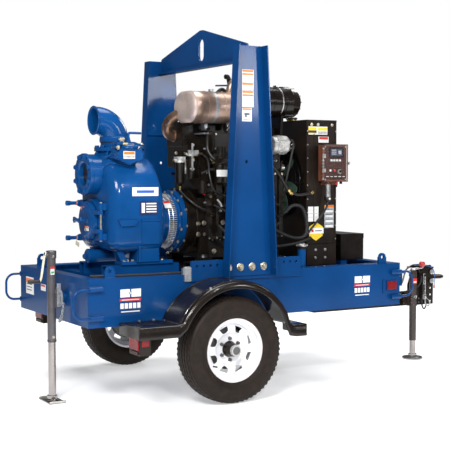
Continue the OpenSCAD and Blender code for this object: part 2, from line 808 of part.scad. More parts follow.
module pump_bracket() color(blue) on_trailer() difference() {
    union() {
        rod_x(702, 22, 232, 0, shaft_z);
        rod_x(868, 34, ring_r, 0, shaft_z);
        translate([723, 0, shaft_z]) rotate([0, 90, 0]) cylinder(h = 146, r1 = 150, r2 = 190);
        rod_x(640, 70, 92, 0, shaft_z);
    }
    translate([730, 0, shaft_z]) rotate([0, 90, 0]) cylinder(h = 182, r1 = 132, r2 = 176);
    for (a = [0 : 60 : 300]) rotate_about(shaft_z, a + 15) translate([764, 100, -58]) cube([76, 140, 116]);
    rod_x(630, 120, shaft_r + 0.05, 0, shaft_z);
}

// Hexagon bolts of the pump's flanges
module pump_bolts() on_trailer() {
    for (i = [0 : 7]) rotate_about(suction_z, 22.5 + 45 * i) {
        bolt_x(222, flange_pcd / 2, 0, 15, 13);
        rod_x(221.5, 40, 9.5, flange_pcd / 2, 0);
    }
    for (i = [0 : 7]) translate([discharge_x, 0, 0]) rotate(22.5 + 45 * i) {
        translate([flange_pcd / 2, 0, 1644]) cylinder(h = 13, r = 15, $fn = 6);
        rod_z(1620, 25, 9.5, flange_pcd / 2, 0);
    }
    for (i = [0 : 11]) rotate_about(shaft_z, 15 + 30 * i) bolt_x(868, ring_r - 14, 0, 9, 8);
    for (i = [0 : 9]) rotate_about(shaft_z, 36 * i) translate([724, 212, 0]) rotate([0, 90, 0])
        cylinder(h = 12, r = 12, $fn = 6);
}

// All hexagon bolts, as one group
module bolts() color(steel) {
    frame_bolts();
    pump_bolts();
}

// ---- engine ----

block_x1 = engine_x0 + block_l;

module engine_block() color(black) on_trailer() difference() {
    union() {
        rod_x(engine_x0, 96, 224, 0, shaft_z);
        block([990, -205, 1010], [block_x1, 205, 1300]);
        block([1024, -205, 1290], [block_x1, 205, 1470]);
        block([1040, -170, 880], [1640, 170, 1012]);
        block([960, -140, 930], [1060, 140, 1100]);
        for (x = [1120, 1300, 1480]) block([x, -232, 1060], [x + 24, -200, 1440]);
        for (x = [985, 1560], s = [-1, 1]) {
            block([x, s * 215 - 45, 862], [x + 90, s * 215 + 45, 882]);
            block([x + 10, s * 215 - 16, 880], [x + 70, s * 215 + 16, 1100]);
        }
        for (s = [-1, 1]) block([900, s * 215 - 50, 784], [1830, s * 215 + 50, 862]);
        block([1240, -262, 1230], [1400, -200, 1380]);
        rod_x(1215, 260, 52, -262, 1150);
    }
    rod_x(engine_x0 - 1, 62, 190, 0, shaft_z);
    rod_x(engine_x0, block_l + 10, shaft_r + 0.05, 0, shaft_z);
    rod_x(block_x1 - 60, 70, fan_stub_r + 0.05, 0, fan_z);
    block([1060, -165, 920], [1610, 165, 1425]);
    for (s = [-1, 1]) block([899, s * 215 - 42, 783], [1831, s * 215 + 42, 854]);
}

module cylinder_head() color(black) on_trailer() {
    difference() {
        union() {
            block([1030, -180, 1470], [block_x1 - 20, 180, 1560]);
            block([1030, -110, 1560], [block_x1 - 50, 90, 1650]);
        }
        block([1060, -90, 1495], [block_x1 - 80, 70, 1630]);
    }
    block([1040, 110, 1560], [block_x1 - 60, 220, 1640]);
    for (i = [0 : 3]) rod_z(1650, 14, 22, 1110 + i * 160, -10);
    block([1075, -262, 1616], [1262, -200, 1760]);
    block([1090, -204, 1560], [1240, -150, 1740]);
}

muffler_x0 = 893;
muffler_l = 440;
muffler_y = -180;
muffler_z = 1925;

module muffler() color("rosybrown") on_trailer() {
    difference() {
        union() {
            plate_yz(muffler_x0 + 26, muffler_l - 60)
                translate([muffler_y, muffler_z]) muffler_outline(112);
            plate_yz(muffler_x0, 30) translate([muffler_y, muffler_z]) muffler_outline(104);
        }
        plate_yz(muffler_x0 + 6, muffler_l - 46) translate([muffler_y, muffler_z]) muffler_outline(98);
    }
    for (x = [muffler_x0 + 120, muffler_x0 + 226]) plate_yz(x, 18)
        translate([muffler_y, muffler_z]) difference() {
            muffler_outline(116);
            muffler_outline(111);
        }
    for (x = [1262, 1300]) block([x, -176, 1560], [x + 10, -114, 1742]);
    block([1250, -188, 1740], [1322, -102, 1752]);
    block([1266, -180, 1751], [1306, -120, 1818]);
    swept(smooth(exhaust_route, 4), 38, 16);
}

// Centre line of the exhaust elbow, from the muffler down to the engine
exhaust_route = [[930, -60, 1900], [880, -10, 1860], [852, 25, 1800], [876, 40, 1740],
                 [940, 45, 1700], [1024, 40, 1680]];

// Rounded section of the muffler
module muffler_outline(r) {
    for (s = [-1, 1]) translate([s * 30, 0]) circle(r);
    translate([-30, -r]) square([60, 2 * r]);
}

cleaner_y = -150;
cleaner_z = 1981;
cleaner_x1 = 1824;

module air_cleaner() color(black) on_trailer() {
    rod_x(1440, cleaner_x1 - 1440 - 90, 108, cleaner_y, cleaner_z);
    rod_x(cleaner_x1 - 130, 60, 114, cleaner_y, cleaner_z);
    rod_x(cleaner_x1 - 72, 60, 105, cleaner_y, cleaner_z);
    translate([cleaner_x1 - 14, cleaner_y, cleaner_z]) rotate([0, 90, 0]) cylinder(h = 14, r1 = 105, r2 = 92);
    for (x = [1500, 1640]) rod_x(x, 22, 112, cleaner_y, cleaner_z);
    rod_x(1380, 62, 55, cleaner_y, cleaner_z);
    for (x = [1480, 1640]) block([x, -190, 1660], [x + 20, -100, 1880]);
    block([1470, -192, 1650], [1670, -40, 1662]);
}

// One fuel filter: head, canister and drain bowl
module filter(x, y, z, r, h) {
    rod_z(z - h, h, r, x, y);
    block([x - r - 3, y - r - 3, z], [x + r + 3, y + r + 10, z + 34]);
    rod_z(z - h - 14, 16, r - 8, x, y);
}

module fuel_filters() color(steel) on_trailer() {
    filter(880, -150, 1545, 32, 150);
    filter(975, -150, 1590, 38, 170);
    filter(1120, -300, 1528, 46, 130);
    block([860, -112, 1500], [1030, -96, 1620]);
    block([1080, -258, 1528], [1160, -180, 1548]);
}

alt_y = -262;
alt_z = 1672;
alt_pulley_r = 38;

module alternator() color(steel) on_trailer() difference() {
    union() {
        rod_x(1560, 120, 66, alt_y, alt_z);
        rod_x(1548, 14, 58, alt_y, alt_z);
        block([1570, alt_y + 40, alt_z - 150], [1660, alt_y + 62, alt_z - 20]);
    }
    rod_x(1600, 100, 12.05, alt_y, alt_z);
}

module alternator_pulley() color(black) on_trailer() difference() {
    union() {
        rod_x(1610, belt_x + 14 - 1610, 12, alt_y, alt_z);
        rod_x(belt_x - 14, 28, alt_pulley_r + 6, alt_y, alt_z);
    }
    difference() {
        rod_x(belt_x - 9, 18, alt_pulley_r + 10, alt_y, alt_z);
        rod_x(belt_x - 10, 20, alt_pulley_r, alt_y, alt_z);
    }
}

fan_z = 1400;
fan_x = 1778;
fan_pulley_r = 80;
fan_stub_r = 16;

module fan() color("darkseagreen") on_trailer() {
    difference() {
        union() {
            rod_x(block_x1 - 50, fan_x + 30 - block_x1 + 50, fan_stub_r, 0, fan_z);
            rod_x(belt_x - 14, 28, fan_pulley_r + 6, 0, fan_z);
            rod_x(fan_x - 14, 40, 62, 0, fan_z);
        }
        difference() {
            rod_x(belt_x - 9, 18, fan_pulley_r + 10, 0, fan_z);
            rod_x(belt_x - 10, 20, fan_pulley_r, 0, fan_z);
        }
    }
    for (a = [0 : 51.4286 : 359]) rotate_about(fan_z, a) translate([fan_x + 6, 50, 0])
        rotate([0, 30, 0]) translate([-2.5, 0, -38]) cube([5, 200, 76]);
}

module belt_loop(extra) hull() {
    translate([0, shaft_z]) circle(crank_pulley_r + extra, $fn = 64);
    translate([0, fan_z]) circle(fan_pulley_r + extra, $fn = 48);
    translate([alt_y, alt_z]) circle(alt_pulley_r + extra, $fn = 48);
}

module fan_belt() color(black) on_trailer() plate_yz(belt_x - 7, 14) difference() {
    belt_loop(5.3);
    belt_loop(0.3);
}

module radiator() color(black) on_trailer() {
    difference() {
        block([rad_x, -rad_hw, 862], [rad_x + 262, rad_hw, rad_top]);
        rod_x(rad_x - 1, 121, 262, 0, fan_z);
        block([rad_x + 176, -rad_hw + 30, 900], [rad_x + 263, rad_hw - 30, rad_top - 60]);
    }
    difference() {
        block([rad_x, -rad_hw - 8, 784], [rad_x + 250, rad_hw + 8, 862]);
        block([rad_x + 8, -rad_hw - 9, 783], [rad_x + 242, rad_hw + 9, 854]);
    }
    block([rad_x - 4, -rad_hw - 12, 800], [rad_x + 252, -rad_hw, 954]);
    rod_z(rad_top, 18, 34, rad_x + 110, 60);
    rod_z(rad_top + 17, 14, 42, rad_x + 110, 60);
}

// Hoses and leads held at both ends
hose_top = [[1643, 40, 1606], [1675, 42, 1610], [1730, 60, 1668], [1780, 92, 1726],
            [1808, 100, 1738], [1831, 100, 1738]];
hose_low = [[1500, -206, 1120], [1502, -236, 1118], [1580, -300, 1060], [1700, -322, 1010],
            [1800, -326, 1020], [1818, -326, 1110], [1780, -326, 1220], [1700, -322, 1240],
            [1640, -300, 1190], [1602, -238, 1152], [1600, -206, 1150]];
hose_fuel_1 = [[880, -150, 1380], [880, -154, 1350], [930, -240, 1270], [1010, -268, 1220],
               [1094, -244, 1186], [1098, -206, 1182]];
hose_fuel_2 = [[1018, -168, 1606], [1044, -180, 1600], [1052, -240, 1560], [1040, -290, 1440],
               [1080, -300, 1340], [1200, -310, 1305], [1296, -296, 1300], [1300, -263, 1300]];
hose_air = [[1560, -206, 1440], [1562, -236, 1438], [1620, -300, 1420], [1700, -326, 1360],
            [1800, -328, 1330], [1862, -324, 1330], [1868, -301, 1330]];
hose_ground = [[1132, -233, 1110], [1134, -264, 1100], [1200, -300, 1030], [1330, -322, 975],
               [1500, -322, 950], [1700, -326, 965], [1844, -328, 1000], [1850, -301, 1002]];

module hoses() color(black) on_trailer() {
    swept(smooth(hose_top, 4), 26, 10);
    swept(smooth(hose_low, 4), 13, 8);
    swept(smooth(hose_fuel_1, 4), 7, 8);
    swept(smooth(hose_fuel_2, 4), 8, 8);
    swept(smooth(hose_air, 4), 11, 8);
    swept(smooth(hose_ground, 4), 11, 8);
}

// ---- controls ----

box_x0 = 1918;
box_x1 = 2122;
box_z0 = 1414;
box_z1 = 1672;
box_y = -392;

module control_box() color("saddlebrown") on_trailer() difference() {
    union() {
        block([box_x0, box_y, box_z0], [box_x1, box_y + 66, box_z1]);
        block([box_x0 + 40, box_y + 65, box_z0 + 40], [rad_x + 262, -rad_hw, box_z1 - 40]);
        rod_z(1292, box_z0 - 1292, 15, 1975, box_y + 30);
        for (z = [box_z0 + 30, box_z1 - 60]) {
            block([box_x0 - 14, box_y - 9, z], [box_x0 - 1, box_y + 8, z + 30]);
            block([box_x0 - 2, box_y + 0.5, z], [box_x0 + 1, box_y + 8, z + 30]);
        }
    }
    for (i = [0 : 3]) translate([button_x(i) - 9.6, box_y - 1, button_z - 7.6]) cube([19.2, 14, 15.2]);
    rod_y(box_y - 1, 30, 9.05, key_x, key_z);
    rod_z(box_z0 + 20, 220, 4.05, hinge_door_x, hinge_door_y);
}

hinge_door_x = box_x0 - 7;
hinge_door_y = box_y - 2;

function button_x(i) = 1985 + 25 * i;
button_z = 1563;
key_x = 2058;
key_z = 1482;

// Clear lid over the control face
module control_door() color("lightcyan") on_trailer() {
    difference() {
        block([box_x0 + 3, box_y - 24, box_z0 - 6], [box_x1 + 8, box_y - 0.5, box_z1 + 6]);
        block([box_x0 + 10, box_y - 20, box_z0 + 2], [box_x1 + 1, box_y + 1, box_z1 - 2]);
    }
    rod_z(box_z0 + 22, 216, 4, hinge_door_x, hinge_door_y);
    for (z = [box_z0 + 62, box_z1 - 92]) {
        rod_z(z, 28, 6, hinge_door_x, hinge_door_y);
        block([hinge_door_x, box_y - 14, z], [box_x0 + 8, box_y - 4, z + 28]);
    }
    block([box_x1 + 6, box_y - 20, box_z0 + 118], [box_x1 + 16, box_y - 4, box_z0 + 140]);
}

module button(i) color("white") on_trailer()
    block([button_x(i) - 9, box_y - 4, button_z - 7], [button_x(i) + 9, box_y + 8, button_z + 7]);
module button_1() button(0);
module button_2() button(1);
module button_3() button(2);
module button_4() button(3);

module key_switch() color(steel) on_trailer() {
    rod_y(box_y - 3, 24, 9, key_x, key_z);
    block([key_x - 2, box_y - 14, key_z - 9], [key_x + 2, box_y - 2, key_z + 9]);
}

// ---- battery ----

bat_x0 = 2216;
bat_x1 = 2426;
bat_hy = 200;
bat_z1 = 990;

module battery_box() color(black) on_trailer() difference() {
    union() {
        block([bat_x0, -bat_hy, frame_top], [bat_x1, bat_hy, bat_z1]);
        block([bat_x1 - 1, -60, bat_z1 - 44], [bat_x1 + 9, 60, bat_z1 - 30]);
        block([bat_x1 + 4, -60, bat_z1 - 40], [bat_x1 + 9, 60, bat_z1 + 12]);
        rod_y(-60, 120, 5, bat_x1 + 7, bat_z1 + 12);
    }
    block([bat_x0 + 4, 4 - bat_hy, frame_top + 4], [bat_x1 - 4, bat_hy - 4, bat_z1 + 1]);
}

module battery() color(black) on_trailer() {
    block([2235, -165, frame_top + 4], [2407, 165, 970]);
    for (y = [-120, 120]) rod_z(969, 15, 9, 2265, y);
}

module battery_lid() color(black) on_trailer() {
    difference() {
        block([bat_x0 - 3, -bat_hy - 3, bat_z1 - 12], [bat_x1 + 1, bat_hy + 3, bat_z1 + 24]);
        block([bat_x0 - 0.5, -bat_hy - 0.5, bat_z1 - 13], [bat_x1 + 2, bat_hy + 0.5, bat_z1 + 0.5]);
    }
    for (y = [-120, 70]) {
        rod_y(y, 50, 5, bat_x1 + 7, bat_z1 + 12);
        block([bat_x1 - 4, y, bat_z1 + 8], [bat_x1 + 7, y + 50, bat_z1 + 16]);
    }
}

side_beams();
cross_beams();
fuel_tank();
fuel_cap();
tongue();
hitch_bracket();
lunette_eye();
safety_chain();
axle();
fenders();
tyre_near();
wheel_near();
tyre_far();
wheel_far();
corner_loops();
lamps();
rear_jack_tube();
rear_jack_leg();
rear_jack_crank();
front_jack_tube();
front_jack_leg();
front_jack_crank();
bail_plate();
uprights();
side_plates();
pump_casing();
suction_flange();
flap_valve();
discharge_flange();
discharge_elbow();
cleanout_cover();
knob_upper();
knob_lower();
fill_cover();
fill_screw();
impeller();
drive_shaft();
pump_bracket();
bolts();
engine_block();
cylinder_head();
muffler();
air_cleaner();
fuel_filters();
alternator();
alternator_pulley();
fan();
fan_belt();
radiator();
hoses();
control_box();
control_door();
button_1();
button_2();
button_3();
button_4();
key_switch();
battery_box();
battery();
battery_lid();
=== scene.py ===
"""Looks of the trailer pump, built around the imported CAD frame.

Lengths here are millimetres measured from the rear face of the trailer frame,
and at() turns them into the row frame in metres.
"""
import math

import bmesh
import bpy
from mathutils import Matrix, Vector


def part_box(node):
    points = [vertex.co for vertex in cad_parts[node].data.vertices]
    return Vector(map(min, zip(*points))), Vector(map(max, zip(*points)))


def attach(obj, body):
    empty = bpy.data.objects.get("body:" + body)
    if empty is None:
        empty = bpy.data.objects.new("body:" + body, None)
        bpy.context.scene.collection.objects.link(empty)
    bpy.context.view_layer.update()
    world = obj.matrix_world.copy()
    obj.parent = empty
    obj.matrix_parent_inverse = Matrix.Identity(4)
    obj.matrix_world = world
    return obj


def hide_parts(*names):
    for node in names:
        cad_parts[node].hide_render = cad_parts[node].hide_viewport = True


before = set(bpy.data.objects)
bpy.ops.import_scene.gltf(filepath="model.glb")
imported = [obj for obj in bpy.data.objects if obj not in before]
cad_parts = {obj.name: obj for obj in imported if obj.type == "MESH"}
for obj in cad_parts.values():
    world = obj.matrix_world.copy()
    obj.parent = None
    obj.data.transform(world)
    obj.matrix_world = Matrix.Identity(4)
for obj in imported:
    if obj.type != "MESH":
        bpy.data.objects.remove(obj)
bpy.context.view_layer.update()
MM = 0.001
X0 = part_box("side_beams")[0].x / MM
NEAR, FAR = -1, 1
# heights of the shaft, suction port, fan and clean-out cover
SHAFT_Z, PORT_Z, FAN_Z, COVER_Z = 1140, 1465, 1400, 1151
# riser to the discharge, fill cover, alternator and air cleaner
RISER_X, FILL_X, FILL_Y = 460, 462, -212
ALT_Y, ALT_Z = -262, 1672
CLEANER_Y, CLEANER_Z = -150, 1981
# outer face of the side beams, and the bolts that hold the uprights to them
BEAM_Y, BOLT_Z = 606, 851
BOLT_XS = [986 + 92 * k for k in range(4)]


def at(p):
    """A point in trailer millimetres, in the row frame in metres."""
    return Vector(((p[0] + X0) * MM, p[1] * MM, p[2] * MM))


# ---------------------------------------------------------------- camera
camera = bpy.data.objects.new("camera", bpy.data.cameras.new("camera"))
bpy.context.scene.collection.objects.link(camera)
bpy.context.scene.camera = camera
camera.data.sensor_width = 36.0
camera.data.lens = 86.16
camera.data.clip_end = 100.0
camera.location = at((-2592, -6720, 1493))
YAW, PITCH = 0.528, -0.051
look = Vector((math.sin(YAW) * math.cos(PITCH), math.cos(YAW) * math.cos(PITCH), math.sin(PITCH)))
camera.rotation_euler = look.to_track_quat("-Z", "Y").to_euler()


# ---------------------------------------------------------------- materials
def link(tree, a, b):
    tree.links.new(a, b)


def material(name, color, rough=0.4, metal=0.0, coat=0.0, tint=None, mottle=0.12, scale=9.0,
             bump=0.05, bump_scale=60.0, round_mm=2.0, spread=0.08, spec=0.5, streak=None):
    """Principled surface with uneven colour, uneven gloss, fine relief and rounded edges."""
    m = bpy.data.materials.new(name)
    m.use_nodes = True
    t = m.node_tree
    s = t.nodes["Principled BSDF"]
    s.inputs["Metallic"].default_value = metal
    s.inputs["Coat Weight"].default_value = coat
    s.inputs["Coat Roughness"].default_value = 0.08
    s.inputs["Specular IOR Level"].default_value = spec
    where = t.nodes.new("ShaderNodeTexCoord")
    stretch = t.nodes.new("ShaderNodeMapping")
    stretch.inputs["Scale"].default_value = streak or (1, 1, 1)
    link(t, where.outputs["Object"], stretch.inputs["Vector"])
    cloud = t.nodes.new("ShaderNodeTexNoise")
    cloud.inputs["Scale"].default_value = scale
    cloud.inputs["Detail"].default_value = 6
    link(t, stretch.outputs["Vector"], cloud.inputs["Vector"])
    ramp = t.nodes.new("ShaderNodeValToRGB")
    low = tint or tuple(c * (1 - mottle * 2) for c in color)
    high = tuple(min(1, c * (1 + mottle)) for c in color)
    ramp.color_ramp.elements[0].position = 0.3
    ramp.color_ramp.elements[0].color = (*low, 1)
    ramp.color_ramp.elements[1].position = 0.62
    ramp.color_ramp.elements[1].color = (*high, 1)
    link(t, cloud.outputs["Fac"], ramp.inputs["Fac"])
    link(t, ramp.outputs["Color"], s.inputs["Base Color"])
    gloss = t.nodes.new("ShaderNodeMapRange")
    gloss.inputs["To Min"].default_value = max(0.02, rough - spread)
    gloss.inputs["To Max"].default_value = min(1.0, rough + spread)
    link(t, cloud.outputs["Fac"], gloss.inputs["Value"])
    link(t, gloss.outputs["Result"], s.inputs["Roughness"])
    grain = t.nodes.new("ShaderNodeTexNoise")
    grain.inputs["Scale"].default_value = bump_scale
    grain.inputs["Detail"].default_value = 4
    link(t, stretch.outputs["Vector"], grain.inputs["Vector"])
    relief = t.nodes.new("ShaderNodeBump")
    relief.inputs["Strength"].default_value = bump
    relief.inputs["Distance"].default_value = 0.004
    link(t, grain.outputs["Fac"], relief.inputs["Height"])
    if round_mm:
        edge = t.nodes.new("ShaderNodeBevel")
        edge.samples = 4
        edge.inputs["Radius"].default_value = round_mm * MM
        link(t, edge.outputs["Normal"], relief.inputs["Normal"])
    link(t, relief.outputs["Normal"], s.inputs["Normal"])
    return m


BLUE = (0.0025, 0.046, 0.17)
M = {
    "blue": material("blue", BLUE, 0.24, coat=0.16, mottle=0.07, scale=3, bump=0.02, bump_scale=90,
                     round_mm=2.5, spec=0.1),
    "cast": material("cast_blue", (0.003, 0.06, 0.215), 0.18, coat=0.3, mottle=0.08, scale=5, bump=0.16,
                     bump_scale=110, round_mm=3, spec=0.15),
    "navy": material("navy", (0.006, 0.02, 0.1), 0.25, coat=0.3, round_mm=0),
    "black": material("black_paint", (0.011, 0.007, 0.005), 0.3, coat=0.12, mottle=0.2, round_mm=2, spec=0.2),
    "engine": material("engine_black", (0.009, 0.0062, 0.004), 0.34, mottle=0.3, scale=14, bump=0.25,
                       bump_scale=150, round_mm=2.5, coat=0.1, spec=0.25),
    "fender": material("fender_black", (0.009, 0.006, 0.0045), 0.22, mottle=0.2, bump=0.05,
                       bump_scale=200, coat=0.3, spec=0.25),
    "steel": material("steel", (0.55, 0.55, 0.54), 0.32, metal=1, mottle=0.1, scale=20, bump=0.06,
                      bump_scale=200, round_mm=1),
    "zinc": material("zinc_yellow", (0.6, 0.54, 0.4), 0.34, metal=1, mottle=0.15, scale=40,
                     tint=(0.42, 0.4, 0.36), round_mm=1),
    "silver": material("silver_paint", (0.84, 0.84, 0.87), 0.3, metal=0.1, coat=0.4, mottle=0.04,
                       bump=0.03, round_mm=1.5),
    "jack": material("jack_grey", (0.1, 0.093, 0.1), 0.3, metal=0.35, mottle=0.12, scale=12,
                     round_mm=1.5),
    "chrome": material("chrome_leg", (0.36, 0.33, 0.32), 0.2, metal=1, mottle=0.1, scale=8, round_mm=1),
    "dark_jack": material("dark_jack", (0.03, 0.017, 0.013), 0.3, coat=0.3, mottle=0.15, round_mm=1.5),
    "galv": material("galvanised", (0.5, 0.52, 0.54), 0.42, metal=0.8, mottle=0.16, scale=50),
    "cream": material("cream", (0.72, 0.66, 0.5), 0.4, mottle=0.08),
    "red": material("red_paint", (0.42, 0.02, 0.015), 0.35, coat=0.2),
    "lens": material("red_lens", (0.17, 0.003, 0.005), 0.14, spec=0.25, coat=0.2, bump=0.2, bump_scale=300),
    "tyre": material("tyre_rubber", (0.014, 0.0085, 0.0055), 0.55, mottle=0.2, scale=30, bump=0.12,
                     bump_scale=260, round_mm=1.5, spec=0.22),
    "rubber": material("hose_rubber", (0.012, 0.01, 0.009), 0.36, mottle=0.2, round_mm=0),
    "loom": material("split_loom", (0.01, 0.01, 0.011), 0.5, bump=0.8, bump_scale=320, round_mm=0),
    "can": material("aluminised_can", (0.47, 0.33, 0.26), 0.36, metal=0.7, scale=7, mottle=0.2,
                    tint=(0.2, 0.13, 0.095), bump=0.12, bump_scale=70, spread=0.14, round_mm=0),
    "can_end": material("can_end", (0.62, 0.5, 0.45), 0.34, metal=0.45, scale=10, mottle=0.12,
                        tint=(0.45, 0.36, 0.31), round_mm=0),
    "pipe": material("exhaust_pipe", (0.3, 0.19, 0.13), 0.3, metal=0.8, scale=9, mottle=0.2,
                     tint=(0.13, 0.08, 0.055), bump=0.12, bump_scale=70, spread=0.12, round_mm=0),
    "manifold": material("hot_iron", (0.1, 0.07, 0.055), 0.65, metal=0.3, mottle=0.4, scale=30, bump=0.5,
                         bump_scale=160),
    "alu": material("cast_aluminium", (0.6, 0.59, 0.57), 0.4, metal=0.6, mottle=0.15, scale=30, bump=0.25,
                    bump_scale=240, round_mm=1),
    "radiator": material("radiator_black", (0.014, 0.009, 0.0065), 0.4, mottle=0.3, scale=6, round_mm=2.5,
                         spec=0.2),
    "core": material("radiator_core", (0.03, 0.03, 0.03), 0.5, metal=0.5, bump=0.7, bump_scale=500,
                     streak=(1, 1, 0.1)),
    "fan": material("fan_plastic", (0.05, 0.1, 0.07), 0.4, mottle=0.1),
    "brown": material("box_brown", (0.17, 0.055, 0.03), 0.35, coat=0.2, mottle=0.12, scale=16),
    "panel": material("panel_dark", (0.05, 0.02, 0.016), 0.34, mottle=0.15, spec=0.2),
    "white": material("white_plastic", (0.78, 0.78, 0.76), 0.38, mottle=0.03, bump=0.02, round_mm=0.6),
    "brass": material("brass", (0.6, 0.42, 0.14), 0.3, metal=1, mottle=0.12, scale=50),
    "orange": material("orange_film", (0.85, 0.2, 0.015), 0.35, mottle=0.04, round_mm=0),
    "yellow": material("yellow_film", (0.85, 0.6, 0.03), 0.35, mottle=0.04, round_mm=0),
    "film": material("white_film", (0.82, 0.82, 0.8), 0.35, mottle=0.03, round_mm=0),
    "ink": material("dark_film", (0.02, 0.03, 0.07), 0.35, mottle=0.05, round_mm=0),
    "redfilm": material("red_film", (0.6, 0.03, 0.02), 0.35, mottle=0.05, round_mm=0),
    "green": material("green_film", (0.03, 0.3, 0.08), 0.4, mottle=0.05, round_mm=0),
    "bluewire": material("blue_tube", (0.02, 0.12, 0.5), 0.4, round_mm=0),
    "panel_blue": material("plate_navy", (0.01, 0.016, 0.09), 0.3, mottle=0.05, round_mm=0),
    "mesh": material("guard_wire", (0.6, 0.62, 0.64), 0.34, metal=0.8, round_mm=0),
    "iron": material("raw_iron", (0.12, 0.12, 0.12), 0.55, metal=0.6, bump=0.4, bump_scale=200),
    "pad": material("pad_zinc", (0.62, 0.6, 0.56), 0.34, metal=0.85, mottle=0.15, scale=30),
}


def glass_material():
    """Clear polycarbonate with fine wear."""
    m = material("clear_lid", (0.35, 0.3, 0.3), 0.08, mottle=0.02, bump=0.02, round_mm=1.5)
    s = m.node_tree.nodes["Principled BSDF"]
    s.inputs["Alpha"].default_value = 0.05
    s.inputs["Transmission Weight"].default_value = 0.0
    m.surface_render_method = "BLENDED"
    return m


M["clear"] = glass_material()
MATERIAL_ORDER = list(M)


# ---------------------------------------------------------------- mesh tools
class Piece:
    """Mesh gathered from simple shapes, each with its own material."""

    def __init__(self, name, body="chassis", slot=None, replaces=(), bevel=1.5, segments=2):
        self.name, self.body, self.slot, self.replaced = name, body, slot, replaces
        self.bevel, self.segments = bevel, segments
        self.bm = bmesh.new()
        self.mat = "black"
        self.turn = Matrix.Identity(4)

    def use(self, mat):
        """Material of the shapes that follow."""
        self.mat = mat

    def verts(self, points):
        """New vertices at trailer points, after the current turn."""
        return [self.bm.verts.new(at(self.turn @ Vector(p))) for p in points]

    def about(self, c, angle, axis="X"):
        """Makes the shapes that follow about c, turned by angle in radians."""
        self.turn = Matrix.Translation(c) @ Matrix.Rotation(angle, 4, axis)

    def straight(self):
        """Ends about()."""
        self.turn = Matrix.Identity(4)

    def face(self, vs, smooth=False):
        """One face; a repeat of a face is skipped."""
        try:
            f = self.bm.faces.new(vs)
        except ValueError:
            return
        f.material_index = MATERIAL_ORDER.index(self.mat)
        f.smooth = smooth

    def loft(self, rings, cap=True, closed=True, smooth=True):
        """Skin over rings of points that all have the same count."""
        rows = [self.verts(r) for r in rings]
        n = len(rows[0])
        for a, b in zip(rows, rows[1:]):
            for i in range(n if closed else n - 1):
                j = (i + 1) % n
                self.face([a[i], a[j], b[j], b[i]], smooth)
        if cap:
            self.face(list(reversed(rows[0])))
            self.face(rows[-1])

    def box(self, lo, hi):
        """Box between two opposite corners."""
        (x0, y0, z0), (x1, y1, z1) = lo, hi
        ring = [(x0, y0), (x1, y0), (x1, y1), (x0, y1)]
        self.loft([[(x, y, z0) for x, y in ring], [(x, y, z1) for x, y in ring]], smooth=False)

    def slab(self, c, size, turn_z=0.0, turn_x=0.0):
        """Box about a centre, turned about the axes in degrees."""
        keep = self.turn
        self.turn = (keep @ Matrix.Translation(c) @ Matrix.Rotation(math.radians(turn_z), 4, "Z")
                     @ Matrix.Rotation(math.radians(turn_x), 4, "X"))
        h = [s / 2 for s in size]
        self.box([-v for v in h], h)
        self.turn = keep

    def lathe(self, base, axis, profile, n=32, cap=True, smooth=True):
        """Turned shape: profile rows are (distance along the axis, radius)."""
        axis = Vector(axis).normalized()
        u = axis.orthogonal().normalized()
        if abs(axis.z) < 0.5:
            u = Vector((0, 0, 1))
            u = (u - axis * u.dot(axis)).normalized()
        v = axis.cross(u)
        rings = []
        for d, r in profile:
            c = Vector(base) + axis * d
            rings.append([c + (u * math.cos(a) + v * math.sin(a)) * r
                          for a in (2 * math.pi * k / n for k in range(n))])
        self.loft(rings, cap=cap, smooth=smooth)

    def rod(self, base, axis, length, r, n=24, edge=None):
        """Cylinder with chamfered ends."""
        e = min(1.2, r * 0.15, length * 0.2) if edge is None else edge
        self.lathe(base, axis, [(0, r - e), (e, r), (length - e, r), (length, r - e)], n)

    def ring(self, base, axis, length, r_in, r_out, n=32, edge=1.0):
        """Tube with open ends and chamfered rims."""
        self.lathe(base, axis, [(edge, r_in), (0, r_in + edge), (0, r_out - edge), (edge, r_out),
                                (length - edge, r_out), (length, r_out - edge), (length, r_in + edge),
                                (length - edge, r_in), (edge, r_in)], n, cap=False)

    def bolt(self, p, axis, r=10, h=8, washer=True):
        """Hexagon head with washer, domed a little."""
        axis = Vector(axis).normalized()
        if washer:
            self.rod(p, axis, h * 0.28, r * 1.35, 20)
        q = Vector(p) + axis * h * (0.25 if washer else 0)
        self.lathe(q, axis, [(0, r), (h * 0.7, r), (h * 0.85, r * 0.88)], 6, smooth=False)

    def ball(self, c, r, n=16):
        """Sphere in eight bands."""
        profile = [(-r * math.cos(math.pi * k / 8), r * math.sin(math.pi * k / 8) + 0.01)
                   for k in range(9)]
        self.lathe(c, (0, 0, 1), profile, n)

    def tube(self, path, r, n=10, smooth_steps=5, cap=True):
        """Round tube along a smoothed path."""
        pts = spline(path, smooth_steps) if smooth_steps else [Vector(p) for p in path]
        self.loft(sweep_rings(pts, r, n), cap=cap)

    def torus(self, c, axis, big, small, n=40, k=12):
        """Ring of n sections, each of k points."""
        axis = Vector(axis).normalized()
        u = axis.orthogonal().normalized() if abs(axis.x) > 0.9 or abs(axis.z) > 0.9 else Vector((0, 0, 1))
        v = axis.cross(u)
        rings = []
        for i in range(n):
            a = 2 * math.pi * i / n
            d = u * math.cos(a) + v * math.sin(a)
            o = Vector(c) + d * big
            rings.append([o + (d * math.cos(b) + axis * math.sin(b)) * small
                          for b in (2 * math.pi * j / k for j in range(k))])
        rings.append(rings[0])
        self.loft(rings, cap=False)

    def prism(self, outline, low, high, plane="xz"):
        """Outline extruded across the third axis."""
        def lift(p, w):
            return {"xz": (p[0], w, p[1]), "yz": (w, p[0], p[1]), "xy": (p[0], p[1], w)}[plane]
        self.loft([[lift(p, low) for p in outline], [lift(p, high) for p in outline]], smooth=False)

